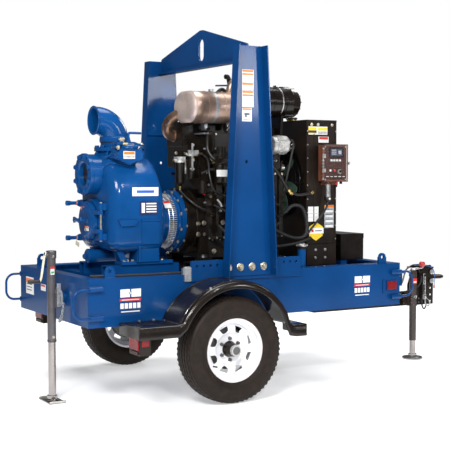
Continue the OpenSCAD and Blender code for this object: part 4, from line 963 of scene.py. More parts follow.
def muffler():
    """Muffler with its straps, brackets, manifold and pipes."""
    p = Piece("muffler", "chassis", "muffler_steel", ["muffler"], bevel=0)

    def ring(x, r):
        return [(x, MUF_Y + y, MUF_Z + z) for y, z in oval(r)]
    p.use("can")
    p.loft([ring(x, r) for x, r in ((916, 109), (920, 112), (985, 112), (1010, 112), (1012, 114.5),
                                    (1024, 114.5), (1026, 112), (1140, 112), (1142, 114.5), (1152, 114.5),
                                    (1154, 112), (1290, 112), (1306, 109), (1318, 100), (1326, 80),
                                    (1330, 30))])
    p.use("can_end")
    p.loft([ring(x, r) for x, r in ((893, 6), (893, 60), (894, 84), (897, 96), (903, 104), (910, 109),
                                    (912, 113), (918, 113), (921, 110))])
    p.use("galv")
    for x in (1064, 1244):
        p.loft([ring(x + d, r) for d, r in ((0, 111), (0, 114), (22, 114), (22, 111))], cap=False)
        p.slab((x + 11, MUF_Y - 60, MUF_Z + 116), (26, 26, 14))
        p.bolt((x + 11, MUF_Y - 46, MUF_Z + 116), (0, 1, 0), 7, 8)
        p.prism([(x, 1752), (x + 22, 1752), (x + 22, MUF_Z - 106), (x, MUF_Z - 106)], MUF_Y + 10, MUF_Y + 60)
    p.slab((1160, -150, 1746), (260, 130, 10))
    for x in (1100, 1282):
        p.box((x, -200, 1660), (x + 12, -110, 1746))
    p.use("manifold")
    p.box((1046, 10, 1652), (1590, 76, 1742))
    p.rod((1030, 42, 1728), (1, 0, 0), 20, 56, 32)
    p.use("pipe")
    p.tube([(950, -96, 1890), (912, -60, 1876), (880, -20, 1846), (868, 6, 1806), (874, 24, 1764),
            (908, 38, 1738), (960, 42, 1730), (1050, 42, 1728)], 38, 24)
    p.ring((869, 6, 1812), (0.05, 0.1, -1), 18, 37, 43, 32)
    p.ring((925, 40, 1734), (1, 0.05, -0.1), 16, 37, 43, 32)
    p.use("manifold")
    for x in (1090, 1240, 1390, 1540):
        p.slab((x, 46, 1660), (70, 60, 40))
    # tail pipe out of the muffler's top, away from the pump
    p.use("can")
    p.tube([(1240, -210, 2010), (1242, -214, 2052), (1256, -216, 2092), (1290, -218, 2116),
            (1330, -218, 2122)],
           27, 20, cap=False)
    p.done(angle=38)


muffler()


def air_cleaner():
    """Air cleaner can with its clips, inlet duct and brackets."""
    p = Piece("air_cleaner", "chassis", "cleaner_black", ["air_cleaner"], bevel=1)
    p.use("fender")
    c = (1440, CLEANER_Y, CLEANER_Z)
    p.lathe(c, (1, 0, 0), [(0, 60), (2, 92), (8, 104), (20, 108), (52, 108), (54, 111), (60, 111), (62, 108),
                           (150, 108), (152, 111), (158, 111), (160, 108), (252, 108), (254, 114), (312, 114),
                           (316, 108), (322, 105), (366, 105), (374, 100), (381, 92), (383, 70),
                           (383, 0.5)], 64)
    for x in (1500, 1652):
        p.use("steel" if x > 1600 else "fender")
        p.ring((x + 7, CLEANER_Y, CLEANER_Z), (1, 0, 0), 9, 108, 110.5, 64, 0.6)
        p.use("steel")
        p.slab((x + 12, -150, 2097), (20, 44, 10))
        p.bolt((x + 12, -128, 2097), (0, 1, 0), 5, 8)
    p.use("fender")
    for k in range(12):
        a = 2 * math.pi * k / 12
        p.about((1822, CLEANER_Y, CLEANER_Z), a)
        p.slab((0, 0, 78), (6, 7, 34))
    p.straight()
    p.use("steel")
    for k in range(3):
        a = 2 * math.pi * (k / 3 + 0.08)
        p.about((1734, CLEANER_Y, CLEANER_Z), a)
        p.slab((0, 0, 112), (66, 18, 8))
    p.straight()
    p.use("rubber")
    p.tube([(1446, CLEANER_Y, CLEANER_Z), (1400, CLEANER_Y, CLEANER_Z), (1370, -146, 1968),
            (1352, -120, 1900), (1352, -80, 1830),
            (1370, -40, 1780), (1400, -20, 1740)], 54, 24)
    p.use("steel")
    for x in (1430, 1404):
        p.ring((x, CLEANER_Y, CLEANER_Z), (1, 0, 0), 12, 54, 57.5, 40, 0.6)
    p.use("engine")
    for x in (1500, 1652):
        p.prism([(-216, 1662), (-84, 1662), (-60, 1880), (-240, 1880)], x, x + 22, "yz")
    p.box((1470, -210, 1650), (1700, 60, 1664))
    p.done()


air_cleaner()


def fuel_filters():
    """Three filters with their heads and bracket."""
    p = Piece("fuel_filters", "chassis", "filter_silver", ["fuel_filters"], bevel=1.5)
    for x, y, z, r, h, tag in ((880, -150, 1545, 33, 150, None), (975, -150, 1590, 39, 170, None),
                               (1120, -300, 1528, 46, 130, "film")):
        p.use("engine")
        p.lathe((x, y, z), (0, 0, -1), [(0, r - 2), (4, r), (10, r), (13, r - 1.5), (h - 16, r - 1.5),
                                        (h - 8, r - 6), (h, r * 0.55), (h + 8, 12), (h + 14, 9)], 40)
        for k in range(14):
            a = 2 * math.pi * k / 14
            p.rod((x + (r - 7) * math.cos(a), y + (r - 7) * math.sin(a), z - h + 2), (0, 0, 1), 16, 3, 6)
        p.use("engine" if tag else "alu")
        p.lathe((x, y, z), (0, 0, 1), [(0, r + 3), (10, r + 3), (14, r), (20, r - 4), (20, 8)], 36)
        p.slab((x, y + 2, z + 26), (r * 1.9, r * 1.7, 28))
        if not tag:
            p.slab((x + r + 8, y + 4, z - 30), (9, 22, 96))
            p.bolt((x, y - r * 0.85, z + 26), (0, -1, 0), 9, 8)
        else:
            for k in range(5):
                p.ring((x, y, z + 42 + k * 13), (0, 0, 1), 8, r - 14, r - 4 - k * 3, 32)
            p.rod((x, y, z + 40), (0, 0, 1), 84, r - 12, 28)
        for s in (-1, 1):
            p.rod((x + s * (r + 12), y, z + 14), (-s, 0, 0), 18, 9, 16)
        p.use("brass")
        for s in (-1, 1):
            p.lathe((x + s * (r + 22), y, z + 14), (-s, 0, 0), [(0, 7), (12, 7)], 6, smooth=False)
        if tag:
            p.use(tag)
            band = [(-60, r + 0.6), (-14, r + 0.6)]
            rows = []
            for d, rr in band:
                rows.append([(x + rr * math.cos(a), y + rr * math.sin(a), z + d - 20)
                             for a in (math.radians(t) for t in range(200, 321, 8))])
            p.loft(rows, cap=False, closed=False)
    p.use("engine")
    p.box((858, -114, 1500), (1030, -98, 1625))
    p.slab((1120, -220, 1538), (96, 90, 14))
    p.use("zinc")
    for x in (870, 940, 1010):
        p.bolt((x, -114, 1608), (0, -1, 0), 8, 7)
    p.done()


fuel_filters()


def alternator():
    """Alternator body, and the pulley on its rotor."""
    p = Piece("alternator", "chassis", "alternator_silver", ["alternator"], bevel=1.5)
    p.use("alu")
    c = (1548, ALT_Y, ALT_Z)
    p.lathe(c, (1, 0, 0), [(0, 30), (1, 50), (6, 58), (30, 62), (34, 66), (50, 66), (52, 62), (78, 62),
                           (80, 66), (118, 66), (126, 60), (131, 40), (132, 16)], 56)
    for k in range(18):
        a = 2 * math.pi * k / 18
        p.about((0, ALT_Y, ALT_Z), a)
        p.slab((1552, 0, 44), (8, 6, 24))
        p.slab((1670, 0, 52), (10, 7, 22))
        p.slab((1613, 0, 64), (26, 4, 5))
    p.straight()
    for a, b in on_circle(3, 62, 40):
        p.rod((1546, ALT_Y + a, ALT_Z + b), (1, 0, 0), 128, 8, 16)
    p.use("engine")
    p.prism([(1570, 1500), (1660, 1500), (1652, 1650), (1578, 1650)], -222, -200)
    p.tube([(1640, -240, 1730), (1644, -180, 1742), (1648, -110, 1720), (1650, -70, 1660)], 9, 8)
    p.use("red")
    p.rod((1540, -240, 1700), (1, 0, 0), 12, 9, 14)
    p.done()
    q = Piece("alternator_pulley", "alternator_rotor", "pulley_black", ["alternator_pulley"], bevel=0.6)
    q.use("engine")
    q.lathe((1702, ALT_Y, ALT_Z), (1, 0, 0), [(0, 20), (0, 43), (2, 44), (4, 44), (6, 38), (21, 38), (23, 44),
                                            (26, 44), (28, 42), (28, 18)], 48)
    for k in range(5):
        q.torus((1702 + 8 + k * 2.8, ALT_Y, ALT_Z), (1, 0, 0), 38.2, 0.8, n=48, k=6)
    q.use("steel")
    q.rod((1610, ALT_Y, ALT_Z), (1, 0, 0), 120, 11.9, 24)
    q.lathe((1728, ALT_Y, ALT_Z), (1, 0, 0), [(0, 15), (8, 15), (10, 12)], 6, smooth=False)
    for k in range(12):
        a = 2 * math.pi * k / 12
        q.about((1694, ALT_Y, ALT_Z), a)
        q.slab((0, 0, 34), (10, 3, 32), turn_z=25)
    q.straight()
    q.done()


alternator()


def fan():
    """Seven-bladed fan with its hub, pulley and shaft."""
    p = Piece("fan", "fan", "fan_plastic", ["fan"], bevel=0.8)
    p.use("steel")
    p.rod((1644, 0, FAN_Z), (1, 0, 0), 164, 15.9, 24)
    p.use("engine")
    p.lathe((1702, 0, FAN_Z), (1, 0, 0), [(0, 30), (0, 85), (2, 86), (5, 86), (7, 80), (21, 80), (23, 86),
                                         (26, 86), (28, 84), (28, 30)], 64)
    p.use("fan")
    p.lathe((1764, 0, FAN_Z), (1, 0, 0), [(0, 40), (2, 60), (6, 62), (36, 62), (40, 58), (40, 20)], 48)
    for k in range(7):
        p.about((1784, 0, FAN_Z), 2 * math.pi * k / 7)
        rings = []
        for i in range(9):
            t = i / 8
            z = 50 + 198 * t
            wide = 62 + 26 * math.sin(math.pi * min(1, t * 1.1)) - 20 * max(0, t - 0.85) * 6
            pitch = math.radians(42 - 22 * t)
            ring = []
            for u, w in ((-0.5, 0), (-0.25, 2.5), (0, 3.2), (0.25, 2.5), (0.5, 0), (0.25, -0.8), (0, 0.2),
                         (-0.25, -0.8)):
                lean = 10 * (0.25 - u * u)
                a, b = u * wide, w + lean
                ring.append((a * math.sin(pitch) * 0.72 + b, a * math.cos(pitch), z))
            rings.append(ring)
        p.loft(rings)
    p.straight()
    p.use("steel")
    for a, b in on_circle(6, 40):
        p.bolt((1764, a, FAN_Z + b), (-1, 0, 0), 8, 6)
    p.done()


fan()


def hoses():
    """Fixed hoses and leads, with end fittings."""
    p = Piece("hoses", "chassis", "rubber_black", ["hoses"], bevel=0)
    p.use("rubber")
    p.tube([(1643, 40, 1606), (1675, 42, 1610), (1730, 60, 1668), (1780, 92, 1726), (1808, 100, 1738),
            (1831, 100, 1738)], 26, 20)
    p.use("loom")
    low = [(1500, -206, 1120), (1502, -236, 1118), (1580, -300, 1060), (1700, -322, 1010),
           (1800, -326, 1020), (1818, -326, 1110), (1780, -326, 1220), (1700, -322, 1240),
           (1640, -300, 1190), (1602, -238, 1152), (1600, -206, 1150)]
    p.tube(low, 13, 14)
    p.tube([(1132, -233, 1110), (1134, -264, 1100), (1200, -300, 1030), (1330, -322, 975),
            (1500, -322, 950), (1700, -326, 965), (1844, -328, 1000), (1850, -301, 1002)], 11, 12)
    p.use("rubber")
    p.tube([(880, -150, 1380), (880, -154, 1350), (930, -240, 1270), (1010, -268, 1220),
            (1094, -244, 1186), (1098, -206, 1182)], 8, 12)
    p.tube([(1018, -168, 1606), (1044, -180, 1600), (1052, -240, 1560), (1040, -290, 1440),
            (1080, -300, 1340), (1200, -310, 1305), (1296, -296, 1300), (1300, -263, 1300)], 9, 12)
    p.tube([(1560, -206, 1440), (1534, -240, 1490), (1520, -300, 1528), (1560, -330, 1480),
            (1620, -332, 1400),
            (1664, -330, 1344), (1740, -324, 1316), (1820, -320, 1322), (1866, -314, 1330),
            (1868, -301, 1330)], 11, 12)
    p.use("brass")
    for q, d, r in (((880, -150, 1382), (0, 0, -1), 11), ((1018, -168, 1606), (1, 0, 0), 12),
                    ((1300, -263, 1300), (0, -1, 0), 12), ((1560, -206, 1440), (0, -1, 0), 14),
                    ((1868, -301, 1330), (0, -1, 0), 14), ((1656, -330, 1354), (0.62, 0, -0.78), 16),
                    ((1690, -329, 1322), (-0.9, 0, 0.4), 15), ((1098, -206, 1182), (0, -1, 0), 11)):
        p.lathe(q, d, [(0, r), (14, r)], 6, smooth=False)
        p.lathe(q, d, [(14, r * 0.9), (26, r * 0.85)], 20)
    p.use("steel")
    for q, d in (((1650, 40, 1606), (1, 0, 0)), ((1818, 100, 1738), (1, 0, 0))):
        p.ring(q, d, 10, 26, 29, 32, 0.5)
    p.done(angle=50)


hoses()


def engine_details():
    """Everything bolted to the block: ribs, covers, pump, starter, pipes, wiring, brackets."""
    p = Piece("engine_details", "chassis", "engine_black", bevel=1.6)
    p.use("engine")
    # flywheel housing rim with bolts
    p.ring((902, 0, SHAFT_Z), (1, 0, 0), 20, 205, 228, 72, 2)
    p.ring((975, 0, SHAFT_Z), (1, 0, 0), 22, 190, 232, 72, 3)
    p.use("zinc")
    for a, b in on_circle(12, 218, 8):
        p.bolt((902, a, SHAFT_Z + b), (-1, 0, 0), 8, 7)
    # near side of the block: core plugs, ribs, flange rail, injection pump, starter
    p.use("engine")
    for k in range(9):
        x = 1040 + k * 76
        p.prism([(x, 1030), (x + 9, 1030), (x + 9, 1455), (x, 1455)], -219, -203)
        p.prism([(x, 1030), (x + 9, 1030), (x + 9, 1455), (x, 1455)], 203, 219)
    for z, w in ((1012, 18), (1240, 12), (1458, 16)):
        p.box((1000, -222, z), (1690, -204, z + w))
        p.box((1000, 204, z), (1690, 222, z + w))
    for x in (1070, 1222, 1374, 1526):
        p.lathe((x, -216, 1360), (0, -1, 0), [(0, 30), (6, 30), (8, 26), (5, 22), (5, 0.5)], 28)
    p.use("zinc")
    for k in range(12):
        p.bolt((1012 + k * 60, -222, 1466), (0, -1, 0), 6, 5)
        p.bolt((1012 + k * 60, -222, 1020), (0, -1, 0), 6, 5)
    p.use("engine")
    p.rod((1215, -262, 1150), (1, 0, 0), 190, 54, 40, 4)
    p.rod((1405, -262, 1150), (1, 0, 0), 70, 40, 36, 4)
    p.rod((1230, -262, 1216), (1, 0, 0), 120, 24, 28, 3)
    p.use("steel")
    p.bolt((1215, -240, 1224), (-1, 0, 0), 8, 10)
    p.bolt((1215, -280, 1210), (-1, 0, 0), 8, 10)
    p.use("alu")
    p.slab((1320, -240, 1306), (150, 66, 130))
    p.lathe((1396, -244, 1306), (1, 0, 0), [(0, 50), (10, 52), (60, 50), (66, 40), (84, 30)], 36)
    for k in range(4):
        x = 1264 + k * 32
        p.lathe((x, -240, 1370), (0, 0, 1), [(0, 12), (16, 12), (18, 9), (26, 9)], 6, smooth=False)
    p.use("steel")
    for k in range(4):
        x = 1264 + k * 32
        end = 1100 + k * 150
        p.tube([(x, -240, 1396), (x, -244, 1440), (x + (end - x) * 0.3, -256 - k * 3, 1500),
                (end - 20, -240, 1560), (end, -200, 1610), (end, -150, 1640)], 3.6, 8)
    # head, rocker cover and its ribs
    p.use("engine")
    for k in range(10):
        p.slab((1060 + k * 64, -10, 1652), (10, 184, 12))
    p.prism([(-116, 1560), (-116, 1640), (-96, 1662), (76, 1662), (96, 1640), (96, 1560)], 1036, 1640, "yz")
    p.use("alu")
    p.lathe((1180, -60, 1660), (0, 0, 1), [(0, 30), (12, 30), (14, 26), (30, 26), (34, 20), (34, 0.5)], 28)
    p.use("engine")
    # inlet side box seen through the lifting frame, with its cover plate and studs
    p.slab((1170, -236, 1690), (196, 66, 142))
    p.slab((1170, -272, 1690), (170, 8, 118))
    p.use("steel")
    for dx in (-76, 76):
        for dz in (-50, 50):
            p.bolt((1170 + dx, -276, 1690 + dz), (0, -1, 0), 6, 5)
    p.use("engine")
    p.slab((1020, -210, 1460), (70, 60, 90))
    p.slab((960, -230, FAN_Z), (46, 50, 70))
    p.rod((1010, -240, 1330), (0, 0, 1), 90, 30, 28, 3)
    p.slab((1500, -235, 1340), (120, 50, 90))
    p.rod((1470, -250, 1395), (1, 0, 0), 90, 26, 28, 3)
    p.slab((1600, -226, 1560), (70, 40, 60))
    p.rod((1650, -120, 1300), (1, 0, 0), 70, 74, 40, 3)
    p.slab((1170, 30, 1744), (480, 230, 170))
    p.slab((1010, -10, 1590), (150, 300, 150))
    p.slab((1330, -150, 1590), (420, 60, 120))
    p.slab((1560, -60, 1720), (220, 200, 150))
    # silver fittings scattered over the near side
    p.use("steel")
    for x, y, z in ((930, -214, 1500), (1045, -230, 1476), (1040, -262, 1392), (1168, -300, 1480),
                    (1030, -222, 1640), (1092, -270, 1330), (1010, -262, 1270), (1385, -300, 1240),
                    (1130, -262, 1210), (1540, -262, 1610), (1585, -262, 1560), (1470, -262, 1480)):
        p.lathe((x, y, z), (0, -1, 0), [(0, 9), (14, 9)], 6, smooth=False)
        p.lathe((x, y - 14, z), (0, -1, 0), [(0, 6), (12, 5)], 12)
    p.use("brass")
    for x, y, z in ((955, -206, 1560), (1062, -262, 1300), (1180, -300, 1395), (1100, -262, 1452)):
        p.lathe((x, y, z), (0, 0, 1), [(0, 8), (16, 8)], 6, smooth=False)
    p.use("zinc")
    for x, z in ((1029, 1127), (1028, 1050), (985, 1124), (985, 1050), (1108, 929), (1180, 1127)):
        p.bolt((x, -222, z), (0, -1, 0), 13, 11)
    # pipes in front of the block
    p.use("rubber")
    p.tube([(1090, -180, 1780), (1060, -220, 1700), (1050, -250, 1620), (1090, -280, 1560),
            (1200, -290, 1480),
            (1400, -280, 1440)], 13, 12)
    p.tube([(1180, -280, 1760), (1240, -300, 1840), (1330, -290, 1850), (1400, -240, 1790),
            (1440, -180, 1700)],
           16, 12)
    p.tube([(1400, -262, 1420), (1500, -290, 1500), (1560, -290, 1570), (1600, -280, 1610)], 10, 10)
    p.use("loom")
    p.tube([(1000, -236, 1470), (1100, -262, 1500), (1250, -276, 1480), (1420, -270, 1500),
            (1580, -250, 1520),
            (1640, -220, 1560)], 9, 10)
    p.tube([(1100, -240, 1250), (1180, -290, 1200), (1300, -330, 1120), (1480, -330, 1090),
            (1600, -310, 1120)],
           8, 10)
    p.tube([(1280, -300, 1180), (1340, -320, 1060), (1500, -300, 960), (1560, -260, 900)], 10, 10)
    # lever and dark ducts above the muffler
    p.use("blue")
    p.rod((1163, -150, 2082), (1, 0, 0.05), 100, 6, 12)
    p.use("rubber")
    p.tube([(1296, -110, 2010), (1300, -112, 2090), (1288, -112, 2146), (1262, -116, 2150)], 17, 14)
    p.tube([(1190, -120, 2030), (1230, -118, 2060), (1272, -112, 2040)], 14, 12)
    # dark cover between the filters and the upright, and a plated strip with its fittings
    p.use("engine")
    p.box((1060, -208, 1510), (1246, -60, 1768))
    p.box((1080, -214, 1530), (1226, -208, 1748))
    p.use("alu")
    p.slab((948, -206, 1582), (11, 7, 190))
    for z in (1500, 1560, 1612, 1664):
        p.lathe((948, -210, z), (0, -1, 0), [(0, 10), (10, 9)], 12)
    p.use("redfilm")
    p.rod((1010, -250, 1330), (1, 0, -0.4), 14, 6, 10)
    p.rod((1240, -262, 1392), (1, 0, 0), 16, 6, 10)
    p.use("orange")
    p.rod((1480, -262, 1392), (0, 0, 1), 20, 8, 14)
    p.use("yellow")
    p.torus((1240, -236, 1480), (0, 1, 0), 14, 3.5, n=20, k=8)
    p.tube([(1240, -236, 1466), (1242, -240, FAN_Z), (1240, -230, 1330)], 3, 8)
    p.use("alu")
    p.tube([(972, -236, 1392), (1004, -240, 1376), (1020, -240, 1352)], 8, 10)
    p.tube([(1120, -250, 1290), (1140, -256, 1262), (1150, -256, 1240)], 7, 10)
    p.rod((1440, -240, 1560), (1, 0, 0), 80, 22, 24)
    p.lathe((1560, -256, 1300), (0, -1, 0), [(0, 22), (12, 22), (14, 17)], 24)
    p.use("white")
    p.slab((1420, -262, 1360), (40, 4, 26))
    p.use("film")
    p.slab((1300, -275, 1306), (60, 3, 34))
    # belt guard bracket and tensioner between the pulleys
    p.use("engine")
    p.prism([(-60, 1240), (-20, 1240), (-150, 1560), (-186, 1560)], 1694, 1704, "yz")
    p.use("steel")
    p.rod((1700, -150, 1510), (1, 0, 0), 30, 26, 28)
    # crank pulley hub bolts
    p.use("zinc")
    for a, b in on_circle(6, 60):
        p.bolt((1704, a, SHAFT_Z + b), (1, 0, 0), 7, 5)
    p.done()

    q = Piece("engine_mounts", "chassis", bevel=1.6)
    q.use("engine")
    for x in (985, 1560):
        for s in (-1, 1):
            y = s * 215
            q.prism([(x, 882), (x + 90, 882), (x + 70, 1010), (x + 20, 1010)], y - 5, y + 5)
            q.use("rubber")
            q.lathe((x + 45, y, 884), (0, 0, 1), [(0, 36), (6, 38), (20, 34), (26, 30)], 28)
            q.use("zinc")
            q.bolt((x + 45, y, 910), (0, 0, 1), 12, 10)
            q.use("engine")
    # oil pan seam and drain
    q.box((1036, -178, 1000), (1646, 178, 1014))
    q.use("zinc")
    for k in range(10):
        q.bolt((1060 + k * 62, -178, 1007), (0, -1, 0), 5, 4)
    q.bolt((1300, -172, 910), (0, -1, 0), 12, 10)
    q.done()


engine_details()


# ---------------------------------------------------------------- radiator
RX, RTOP = 1832, 1855


def radiator_details():
    """Edges, bolts, stickers and cap of the radiator, and its core and guards."""
    p = Piece("radiator_details", "chassis", "radiator_black", bevel=1.2)
    p.use("radiator")
    # folded edges of the near side panel and top
    p.box((RX, -304, 866), (RX + 14, -300, RTOP))
    p.box((RX + 248, -304, 866), (RX + 262, -300, RTOP))
    p.box((RX, -306, RTOP - 14), (RX + 262, -300, RTOP))
    p.box((RX + 14, -302, 960), (RX + 248, -300.2, 968))
    p.box((RX + 60, -303, 1040), (RX + 68, -300.2, 1800))
    p.use("zinc")
    for x in (RX + 40, RX + 96, RX + 220):
        p.bolt((x, -306, RTOP - 34), (0, -1, 0), 9, 7)
    for k in range(9):
        for x in (RX + 7, RX + 255):
            p.bolt((x, -304, 990 + k * 98), (0, -1, 0), 5, 4, washer=False)
    # base bracket with four bolts
    p.use("radiator")
    p.box((RX - 4, -318, 806), (RX + 252, -306, 954))
    p.use("steel")
    for x in (1903, 1987):
        for z in (856, 915):
            p.bolt((x, -318, z), (0, -1, 0), 8, 7)
    # stickers, plain blocks with no lettering
    y = -302

    def patch(cx, cz, w, h, m, lift=0.0):
        p.use(m)
        p.slab((cx, y - lift, cz), (w, 1.4, h))
    patch(1926, 1778, 176, 58, "film")
    patch(1880, 1778, 74, 48, "yellow", 0.8)
    patch(1880, 1770, 74, 18, "ink", 1.6)
    patch(1970, 1790, 80, 22, "yellow", 0.8)
    patch(1970, 1764, 80, 18, "galv", 0.8)
    patch(1980, 1713, 90, 44, "film")
    patch(1980, 1724, 78, 18, "redfilm", 0.8)
    patch(1885, 1174, 106, 108, "film")
    for k in range(3):
        patch(1885, 1204 - k * 26, 78, 3, "galv", 0.8)
    patch(2033, 1154, 84, 168, "galv")
    patch(2033, 1228, 84, 16, "orange", 0.8)
    for k in range(4):
        patch(2033, 1206 - k * 36, 70, 3, "ink", 0.8)
        patch(2033, 1192 - k * 36, 66, 14, "film", 0.8)
    p.use("yellow")
    p.prism([(1916 + a, 1048 + b) for a, b in on_circle(6, 68, 30)], y - 1.5, y + 0.5)
    patch(1918, 1052, 128, 42, "film", 2.2)
    patch(1884, 1052, 18, 18, "redfilm", 3)
    patch(1936, 1052, 60, 6, "ink", 3)
    # cap, filler neck, top hose stub
    p.use("brass")
    p.lathe((RX + 110, 60, RTOP), (0, 0, 1), [(0, 36), (14, 36), (16, 34)], 40)
    p.use("steel")
    p.lathe((RX + 110, 60, RTOP + 16), (0, 0, 1), [(0, 40), (4, 42), (8, 42), (12, 34), (15, 28),
                                                   (15, 0.5)], 40)
    p.slab((RX + 110, 60, RTOP + 26), (96, 20, 6))
    p.done()

    c = Piece("radiator_core", "chassis", bevel=0)
    c.use("core")
    c.box((RX + 181, -268, 902), (RX + 188, 268, 1793))
    x = RX + 190
    for k in range(54):
        c.slab((x, -262 + k * 9.9, 1347), (5, 2.2, 888))
    for k in range(44):
        c.slab((x, 0, 912 + k * 20), (3.4, 534, 1.6))
    c.use("steel")
    for k in range(20):
        c.tube([(RX + 214, -266, 920 + k * 46), (RX + 216, 266, 920 + k * 46)], 2.2, 6, 0)
    for k in range(12):
        c.tube([(RX + 219, -240 + k * 44, 904), (RX + 219, -240 + k * 44, 1792)], 2.2, 6, 0)
    # front fan guard of rings inside the shroud mouth
    c.use("engine")
    for r in (60, 110, 160, 210, 254):
        c.torus((RX + 6, 0, FAN_Z), (1, 0, 0), r, 2.2, n=64, k=6)
    for a in range(0, 180, 45):
        ca, sa = math.cos(math.radians(a)), math.sin(math.radians(a))
        c.tube([(RX + 3, -258 * ca, FAN_Z - 258 * sa), (RX + 3, 258 * ca, FAN_Z + 258 * sa)], 2.6, 6, 0)
    c.done()


radiator_details()


# ---------------------------------------------------------------- control box
BX0, BX1, BZ0, BZ1, BY = 1918, 2122, 1414, 1672, -392


def controls():
    """Control panel, clear lid, hinge strip, buttons and key switch."""
    p = Piece("control_panel", "chassis", "box_brown", bevel=1)
    p.use("panel")
    p.box((BX0 + 8, BY - 2, BZ0 + 8), (BX1 - 8, BY + 1, BZ1 - 8))
    # display with a rounded dark bezel
    p.use("fender")
    p.box((1962, BY - 9, 1582), (2088, BY - 1, 1656))
    p.use("ink")
    p.box((1974, BY - 10.2, 1594), (2076, BY - 8.8, 1646))
    p.use("film")
    for k in range(3):
        p.slab((2002, BY - 10.6, 1636 - k * 14), (40, 0.8, 3))
    p.use("galv")
    p.slab((2054, BY - 10.6, 1620), (26, 0.8, 26))
    # surrounds of the buttons and the key
    p.use("fender")
    for k in range(4):
        x = 1985 + 25 * k
        for dx, dz, w, h in ((0, 9, 22, 2.5), (0, -9, 22, 2.5), (11, 0, 2.5, 20), (-11, 0, 2.5, 20)):
            p.slab((x + dx, BY - 3, 1563 + dz), (w, 3, h))
    p.use("steel")
    p.ring((2058, BY - 6, 1482), (0, 1, 0), 6, 9.3, 17, 36, 1)
    p.use("white")
    p.slab((1976, BY - 3, 1490), (14, 2, 14))
    p.use("redfilm")
    p.lathe((2012, BY - 2, 1490), (0, -1, 0), [(0, 8), (3, 8), (5, 6), (6, 0.5)], 20)
    p.use("film")
    for k in range(5):
        p.slab((1950 + k * 36, BY - 3, 1446), (22, 1.4, 4))
    # conduit, sensor and bracket below the box
    p.use("steel")
    p.rod((1975, BY + 30, 1300), (0, 0, 1), 90, 22, 28, 2)
    for k in range(5):
        p.torus((1975, BY + 30, 1312 + k * 16), (0, 0, 1), 22, 1.6, n=32, k=6)
    p.rod((1975, BY + 30, 1388), (0, 0, 1), 26, 15, 24)
    p.use("rubber")
    p.lathe((1975, BY + 30, 1300), (0, 0, -1), [(0, 24), (8, 26), (26, 24), (34, 14), (36, 0.5)], 28)
    p.use("white")
    p.lathe((1975, BY + 8, 1286), (0, -1, 0), [(0, 9), (6, 9)], 6, smooth=False)
    p.use("loom")
    p.tube([(1975, BY + 30, 1270), (1970, BY + 36, 1220), (1930, BY + 60, 1150), (1880, -312, 1080),
            (1846, -306, 1040)], 8, 10)
    p.use("red")
    p.rod((2048, BY + 26, 1386), (0, 0, 1), 28, 12, 20)
    p.use("fender")
    p.rod((2048, BY + 26, 1370), (0, 0, 1), 18, 9, 20)
    p.rod((2090, BY + 26, 1392), (0, 0, 1), 22, 10, 20)
    p.use("brown")
    p.box((BX0 + 30, BY + 66, BZ0 - 30), (BX1 - 30, BY + 78, BZ0 + 10))
    p.use("steel")
    for x in (BX0 + 12, BX1 - 12):
        for z in (BZ0 + 12, BZ1 - 12):
            p.lathe((x, BY - 2, z), (0, -1, 0), [(0, 5), (2, 5), (3, 3)], 14)
    p.done()

    d = Piece("control_door", "control_door", "door_clear", ["control_door"], bevel=2)
    d.use("clear")
    x0, x1, z0, z1 = BX0 + 3, BX1 + 8, BZ0 - 6, BZ1 + 6
    e = 16

    def frame_ring(x0, x1, z0, z1, y):
        return [(x0, y, z0), (x1, y, z0), (x1, y, z1), (x0, y, z1)]
    d.loft([frame_ring(x0, x1, z0, z1, BY - 0.6), frame_ring(x0, x1, z0, z1, BY - 12),
            frame_ring(x0 + e, x1 - e, z0 + e, z1 - e, BY - 24)], cap=False, smooth=False)
    last = d.verts(frame_ring(x0 + e, x1 - e, z0 + e, z1 - e, BY - 24))
    d.face(last)
    # dark gasket rim and hinge strip like a ladder
    d.use("panel")
    for lo, hi in (((x0, BY - 4, z0), (x1, BY - 0.6, z0 + 6)), ((x0, BY - 4, z1 - 6), (x1, BY - 0.6, z1)),
                   ((x0, BY - 4, z0), (x0 + 6, BY - 0.6, z1)), ((x1 - 6, BY - 4, z0), (x1, BY - 0.6, z1))):
        d.box(lo, hi)
    d.use("steel")
    d.rod((1911, BY - 2, 1436), (0, 0, 1), 216, 3.9, 16)
    for z in (1476, 1580):
        d.rod((1911, BY - 2, z), (0, 0, 1), 28, 6, 16)
        d.box((1911, BY - 14, z), (1928, BY - 5, z + 28))
    d.box((BX1 + 5, BY - 20, 1532), (BX1 + 15, BY - 4, 1554))
    d.done()

    h = Piece("door_hinge_strip", "chassis", bevel=0.5)
    h.use("steel")
    for k in range(11):
        z = BZ0 + 8 + k * 22
        if not (1470 < z + 7 < 1510 or 1574 < z + 7 < 1614):
            h.box((BX0 - 14, BY - 8, z), (BX0 - 1, BY + 6, z + 12))
    h.done()

    for k in range(4):
        b = Piece(f"button_{k + 1}", f"button_{k + 1}", "button_white", [f"button_{k + 1}"], bevel=1.2)
        b.use("white")
        x = 1985 + 25 * k
        b.prism([(x - 9, 1556), (x + 9, 1556), (x + 9, 1570), (x - 9, 1570)], BY - 4, BY + 8)
        b.use("green" if k == 0 else "redfilm" if k == 3 else "ink")
        b.slab((x, BY - 4.2, 1563), (7, 0.9, 3))
        b.done()

    s = Piece("key_switch", "key_switch", "key_steel", ["key_switch"], bevel=0.4)
    s.use("steel")
    c = (2058, BY, 1482)
    s.lathe(c, (0, -1, 0), [(-20, 8.8), (3, 8.8), (4.5, 7.5), (4.5, 0.5)], 28)
    s.box((2056.4, BY - 12, 1474), (2059.6, BY - 3, 1490))
    s.use("fender")
    s.lathe((2058, BY - 9, 1482), (0, -1, 0), [(0, 9.5), (1, 10.5), (4, 10.5), (5, 9.5)], 24)
    s.done()


controls()


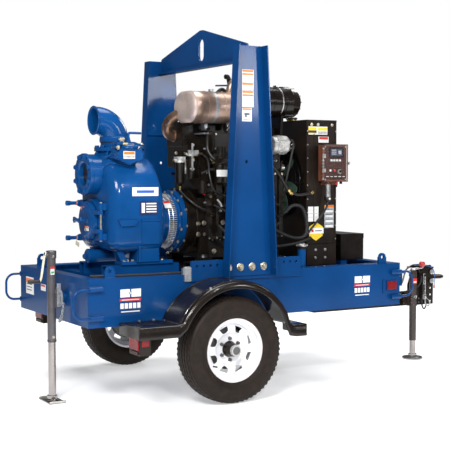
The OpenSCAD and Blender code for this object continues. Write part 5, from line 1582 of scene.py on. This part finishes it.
# ---------------------------------------------------------------- jacks
def jacks():
    """Crank handles, brackets, pins and pads of both jacks."""
    x, y, z = -80, -197, 951
    p = Piece("rear_jack_crank", "rear_jack_crank", "crank_cream", ["rear_jack_crank"], bevel=1.2)
    p.use("steel")
    p.lathe((x - 36.5, y, z), (-1, 0, 0), [(-46, 9.5), (0, 9.5), (0.5, 17), (7, 17), (12, 11), (14, 0.5)], 28)
    p.use("cream")
    p.tube([(x - 44, y, z), (x - 50, y, z - 30), (x - 66, y, z - 130), (x - 74, y, z - 162),
            (x - 86, y, z - 170),
            (x - 100, y, z - 170)], 8, 14, 4)
    p.use("rubber")
    p.lathe((x - 78, y, z - 170), (-1, 0, 0),
            [(0, 9), (1, 12), (6, 13.5), (14, 12), (24, 13), (50, 13.5), (72, 13.5), (79, 11.5),
             (82, 0.5)], 26)
    p.done(angle=50)

    q = Piece("rear_jack_details", "rear_jack_tube", bevel=1)
    q.use("jack")
    q.lathe((x, y, 962), (0, 0, 1), [(0, 33), (8, 33.4), (13, 31), (13, 0.5)], 40)
    q.lathe((x, y, 386), (0, 0, 1), [(0, 30), (14, 30), (16, 29)], 40)
    q.use("zinc")
    q.bolt((x, y - 32, 940), (0, -1, 0), 7, 5)
    q.bolt((x, y - 28, 420), (0, -1, 0), 7, 5)
    q.use("film")
    q.slab((x - 4, y - 29.5, 850), (26, 3, 52))
    q.use("redfilm")
    q.slab((x - 4, y - 30.2, 868), (26, 3, 16))
    q.use("green")
    q.slab((x - 4, y - 30.2, 838), (20, 3, 14))
    # swivel ring with its holes, and the pull pin on a chain
    q.use("galv")
    q.slab((x + 34, y - 40, 690), (26, 8, 150))
    q.slab((x + 42, y - 58, 640), (34, 30, 8))
    q.ring((x + 41, y, 670), (1, 0, 0), 15, 53, 60, 48, 1)
    q.use("steel")
    q.rod((x + 30, y - 42, 706), (0, -1, 0), 46, 6.5, 16)
    q.torus((x + 30, y - 94, 706), (1, 0, 0), 13, 2.6, n=24, k=8)
    q.use("galv")
    links = 30
    for k in range(links):
        t = k / (links - 1)
        c = (x + 34 + 10 * math.sin(t * 9), y - 76 - 12 * math.sin(t * 7),
             694 - 170 * math.sin(math.pi * t * 0.8))
        q.torus(c, (1, 0, 0) if k % 2 else (0, 1, 0), 6.4, 2, n=14, k=6)
    q.done()

    f = Piece("rear_jack_foot", "rear_jack_leg", bevel=1.2)
    f.use("chrome")
    f.lathe((x, y, 8), (0, 0, 1), [(0, 40), (6, 40), (14, 32), (30, 32)], 36)
    f.use("pad")
    for s in (-1, 1):
        f.slab((x, y + s * 97, 12), (110, 5, 12))
    f.done()

    x, y = 2968, -138
    c = Piece("front_jack_crank", "front_jack_crank", "crank_red", ["front_jack_crank"], bevel=1)
    c.use("steel")
    c.lathe((x, y, 700), (0, 0, 1), [(0, 20), (4, 22), (12, 22), (18, 12), (20, 0.5)], 32)
    c.tube([(x, y, 712), (x + 30, y, 712), (x + 74, y, 716), (x + 92, y, 720), (x + 92, y, 736)], 7, 12)
    c.use("red")
    c.lathe((x + 92, y, 724), (0, 0, 1),
            [(0, 8), (2, 15), (8, 20), (18, 24), (30, 24), (38, 20), (43, 12), (45, 0.5)], 32)
    c.done(angle=50)

    g = Piece("front_jack_details", "front_jack_tube", bevel=1)
    g.use("dark_jack")
    g.lathe((x, y, 682), (0, 0, 1), [(0, 29), (2, 31), (12, 31), (18, 27)], 40)
    g.use("zinc")
    g.bolt((x - 29, y, 690), (-1, 0, 0), 7, 5)
    g.use("redfilm")
    g.prism([(x - 24, 596), (x + 16, 596), (x + 16, 640), (x - 24, 640)], y - 30.2, y - 20)
    g.use("film")
    g.prism([(x - 18, 606), (x + 10, 606), (x + 10, 616), (x - 18, 616)], y - 31, y - 30)
    g.use("steel")
    g.rod((x - 34, y - 28, 500), (0, -1, 0), 40, 5.5, 16)
    g.torus((x - 34, y - 74, 500), (1, 0, 0), 11, 2.2, n=24, k=8)
    g.use("jack")
    for d, b in on_circle(8, 40, 22):
        g.lathe((x + d, y - 27, 465 + b), (0, -1, 0), [(0, 6), (3, 6), (3, 0.5)], 14)
    g.done()

    h = Piece("front_jack_foot", "front_jack_leg", bevel=1)
    h.use("jack")
    h.lathe((x, y, 9), (0, 0, 1), [(0, 62), (5, 60), (14, 38), (26, 29)], 48)
    h.torus((x, y, 12), (0, 0, 1), 75, 4, n=56, k=10)
    h.done()


jacks()


# ---------------------------------------------------------------- hitch, wires, chain
def hitch():
    """Hitch bolts, leads and wiring, and the hook on the safety chain."""
    p = Piece("hitch_details", "chassis", bevel=1.4)
    p.use("fender")
    # folded flanges of the gusset and the stacked cross-bolts
    for s in (-1, 1):
        p.box((3075, s * 62 - 4, 700), (3243, s * 62 + 4, 712))
    p.use("steel")
    for z in (600, 672):
        p.bolt((3217, -74, z), (0, -1, 0), 15, 12)
        p.bolt((3217, 74, z), (0, 1, 0), 15, 12)
    # breakaway lead and plug cable along the tongue
    p.use("loom")
    p.tube([(2470, -520, 700), (2560, -470, 640), (2700, -330, 640), (2860, -170, 690), (2960, -70, 706),
            (3060, -30, 730), (3110, -40, 700), (3130, -76, 560), (3150, -84, 420), (3130, -84, 380),
            (3108, -84, 420), (3120, -82, 520)], 6, 8)
    p.use("rubber")
    p.rod((3120, -82, 520), (0, 0, 1), 56, 13, 20)
    p.use("bluewire")
    p.tube([(3060, -40, 730), (3150, -66, 726), (3230, -66, 700), (3262, -60, 640), (3250, -66, 560)], 2.6, 6)
    p.use("redfilm")
    p.rod((3250, -66, 536), (0, 0, 1), 24, 5, 12)
    # brackets and lamp wiring at the front corner
    p.use("blue")
    p.slab((2478, -560, 690), (56, 8, 92))
    p.slab((2500, -548, 738), (70, 42, 6))
    p.use("zinc")
    p.bolt((2478, -565, 718), (0, -1, 0), 7, 5)
    p.done()

    c = Piece("chain_details", "safety_chain", bevel=0)
    c.use("steel")
    c.tube([(3134, -94, 470), (3130, -96, 440), (3140, -97, 412), (3162, -98, 404), (3176, -98, 424),
            (3170, -98, 448)], 6.5, 12)
    c.tube([(3134, -94, 468), (3152, -95, 462), (3170, -97, 446)], 2.4, 8)
    c.ball((3134, -94, 474), 11)
    c.done()


hitch()


# ---------------------------------------------------------------- labels and lesser parts of the frame
def labels():
    """Plain blocks of colour where the original carries stickers; no lettering anywhere."""
    p = Piece("frame_labels", "chassis", bevel=0)

    def side(cx, cz, w, h, m, y):
        p.use(m)
        p.slab((cx, y, cz), (w, 1.2, h))

    def rear(cy, cz, w, h, m, x):
        p.use(m)
        p.slab((x, cy, cz), (1.2, w, h))
    # near side beam: two groups of plain white and red blocks
    y = -606.8
    for cx, cz, k in ((286, 668, 1.0), (2105, 663, 0.95)):
        side(cx - 36 * k, cz + 54 * k, 66 * k, 50 * k, "film", y)
        side(cx + 40 * k, cz + 54 * k, 66 * k, 50 * k, "film", y)
        side(cx, cz + 54 * k, 22 * k, 12 * k, "film", y)
        side(cx, cz + 12 * k, 146 * k, 16 * k, "redfilm", y)
        side(cx, cz + 12 * k, 120 * k, 4 * k, "film", y - 0.8)
        for r in range(5):
            side(cx + (r - 2) * 29 * k, cz - 26 * k, 22 * k, 34 * k, "film", y)
        side(cx, cz - 62 * k, 128 * k, 6 * k, "film", y)
    # upright: a column of sheets with header bars
    y = -628.8
    cx = 1135
    for cz, h in ((2112, 84), (2044, 50), (1962, 108)):
        side(cx, cz, 88, h, "film", y)
        side(cx, cz + h / 2 - 9, 80, 13, "orange", y - 0.8)
        if h > 60:
            side(cx, cz + h / 2 - 30, 80, 11, "orange", y - 0.8)
        for r in range(int(h / 16) - 2):
            side(cx, cz + h / 2 - 46 - r * 11, 68, 3.4, "galv", y - 0.8)
    side(1128, 1858, 74, 88, "film", y)
    side(1128, 1894, 66, 10, "orange", y - 0.8)
    side(1128, 1862, 40, 12, "ink", y - 0.8)
    side(1120, 1848, 12, 16, "ink", y - 0.8)
    side(1128, 1826, 58, 8, "galv", y - 0.8)
    # rear face of the frame
    x = -1
    rear(420, 690, 150, 118, "film", x)
    rear(420, 724, 140, 30, "orange", x - 0.8)
    for r in range(3):
        rear(430, 700 - r * 20, 100, 6, "ink", x - 0.8)
    rear(-70, 700, 110, 44, "yellow", x)
    rear(-70, 706, 90, 10, "ink", x - 0.8)
    rear(160, 700, 90, 44, "film", x)
    rear(160, 712, 80, 12, "redfilm", x - 0.8)
    # pump casing and suction side
    side(552, 1350, 192, 58, "film", -282)
    side(552, 1350, 128, 18, "bluewire", -282.8)
    side(578, 1242, 134, 90, "panel_blue", -285)
    side(534, 1242, 24, 66, "film", -285.8)
    for r in range(4):
        side(594, 1270 - r * 18, 76, 9, "film", -285.8)
    # sticker on the fill hopper
    side(446, 1592, 84, 50, "film", -259)
    side(446, 1604, 76, 18, "orange", -259.8)
    side(446, 1580, 76, 10, "galv", -259.8)
    p.done()


labels()


def lifting_details():
    """Welds and bolts of the lifting frame, and trim of the battery box."""
    p = Piece("lifting_details", "chassis", bevel=1.4)
    p.use("blue")
    # weld beads at the shoulders and the feet, stiffening plates inside the web
    for s in (-1, 1):
        y = s * 612
        p.slab((1138, y, 1240), (300, 10, 14))
        p.slab((1138, y, 1760), (258, 10, 14))
    p.use("zinc")
    for s in (-1, 1):
        for x in BOLT_XS:
            p.bolt((x, s * 630, BOLT_Z), (0, s, 0), 15, 12)
    # ribbed galvanised block beside the rear side plate
    p.use("galv")
    for s in (-1, 1):
        p.box((668, s * BEAM_Y - 12, 772), (712, s * BEAM_Y + 12, 868))
        for k in range(7):
            p.box((664, s * BEAM_Y - 16, 778 + k * 13), (716, s * BEAM_Y + 16, 783 + k * 13))
    p.done()

    q = Piece("battery_details", "chassis", bevel=1)
    q.use("black")
    q.box((2214, -202, 978), (2428, -199, 988))
    q.box((2213, -200, 978), (2216, 200, 988))
    q.done()

    s = Piece("battery_strap", "battery_lid", bevel=0.8)
    s.use("rubber")
    s.box((2226, -12, 1008), (2420, 12, 1012))
    s.done()


lifting_details()


# ---------------------------------------------------------------- stage
def stage():
    """White floor, white world and the lights."""
    floor = bpy.data.meshes.new("floor")
    r = 5
    floor.from_pydata([(-r, -r, 0), (r, -r, 0), (r, r, 0), (-r, r, 0)], [], [(0, 1, 2, 3)])
    ob = bpy.data.objects.new("floor", floor)
    bpy.context.scene.collection.objects.link(ob)
    mat = bpy.data.materials.new("floor_white")
    mat.use_nodes = True
    node = mat.node_tree.nodes["Principled BSDF"]
    node.inputs["Base Color"].default_value = (0.95, 0.95, 0.95, 1)
    node.inputs["Roughness"].default_value = 0.9
    node.inputs["Emission Color"].default_value = (1, 1, 1, 1)
    node.inputs["Emission Strength"].default_value = 0.4
    floor.materials.append(mat)

    world = bpy.data.worlds.new("white")
    bpy.context.scene.world = world
    world.use_nodes = True
    tree = world.node_tree
    tree.nodes.clear()
    out = tree.nodes.new("ShaderNodeOutputWorld")
    seen = tree.nodes.new("ShaderNodeLightPath")
    backdrop, ambient = (tree.nodes.new("ShaderNodeBackground") for _ in range(2))
    backdrop.inputs["Color"].default_value = (1, 1, 1, 1)
    ambient.inputs["Color"].default_value = (0.92, 0.96, 1, 1)
    ambient.inputs["Strength"].default_value = 0.16
    mix = tree.nodes.new("ShaderNodeMixShader")
    tree.links.new(seen.outputs["Is Camera Ray"], mix.inputs[0])
    tree.links.new(ambient.outputs[0], mix.inputs[1])
    tree.links.new(backdrop.outputs[0], mix.inputs[2])
    tree.links.new(mix.outputs[0], out.inputs[0])

    for name, loc, aim, size, power in (
            ("key", (-4.5, -4.5, 4.6), (0, 0, 1), (1.8, 1.8), 340),
            ("spark", (-2.6, -6.4, 3.4), (-0.8, 0, 1.2), (0.4, 0.4), 120),
            ("fill", (3.75, -7.5, 2.75), (0, 0, 1.2), (0.8, 1.0), 75),
            ("glint", (0.6, -6.0, 5.0), (-0.8, 0, 1.2), (0.35, 0.35), 110),
            ("rim", (5.0, 3.0, 4.5), (0.4, 0, 1), (2.5, 2.5), 160),
            ("top", (0.2, 0.4, 6.0), (0, 0, 1), (4, 3), 240)):
        data = bpy.data.lights.new(name, "AREA")
        data.shape = "RECTANGLE"
        data.size, data.size_y = size
        data.energy = power
        lamp = bpy.data.objects.new(name, data)
        bpy.context.scene.collection.objects.link(lamp)
        lamp.location = loc
        lamp.rotation_euler = (Vector(aim) - Vector(loc)).to_track_quat("-Z", "Y").to_euler()


stage()

scene = bpy.context.scene
scene.view_settings.view_transform = "Standard"
scene.view_settings.look = "None"
scene.view_settings.exposure = 0.0
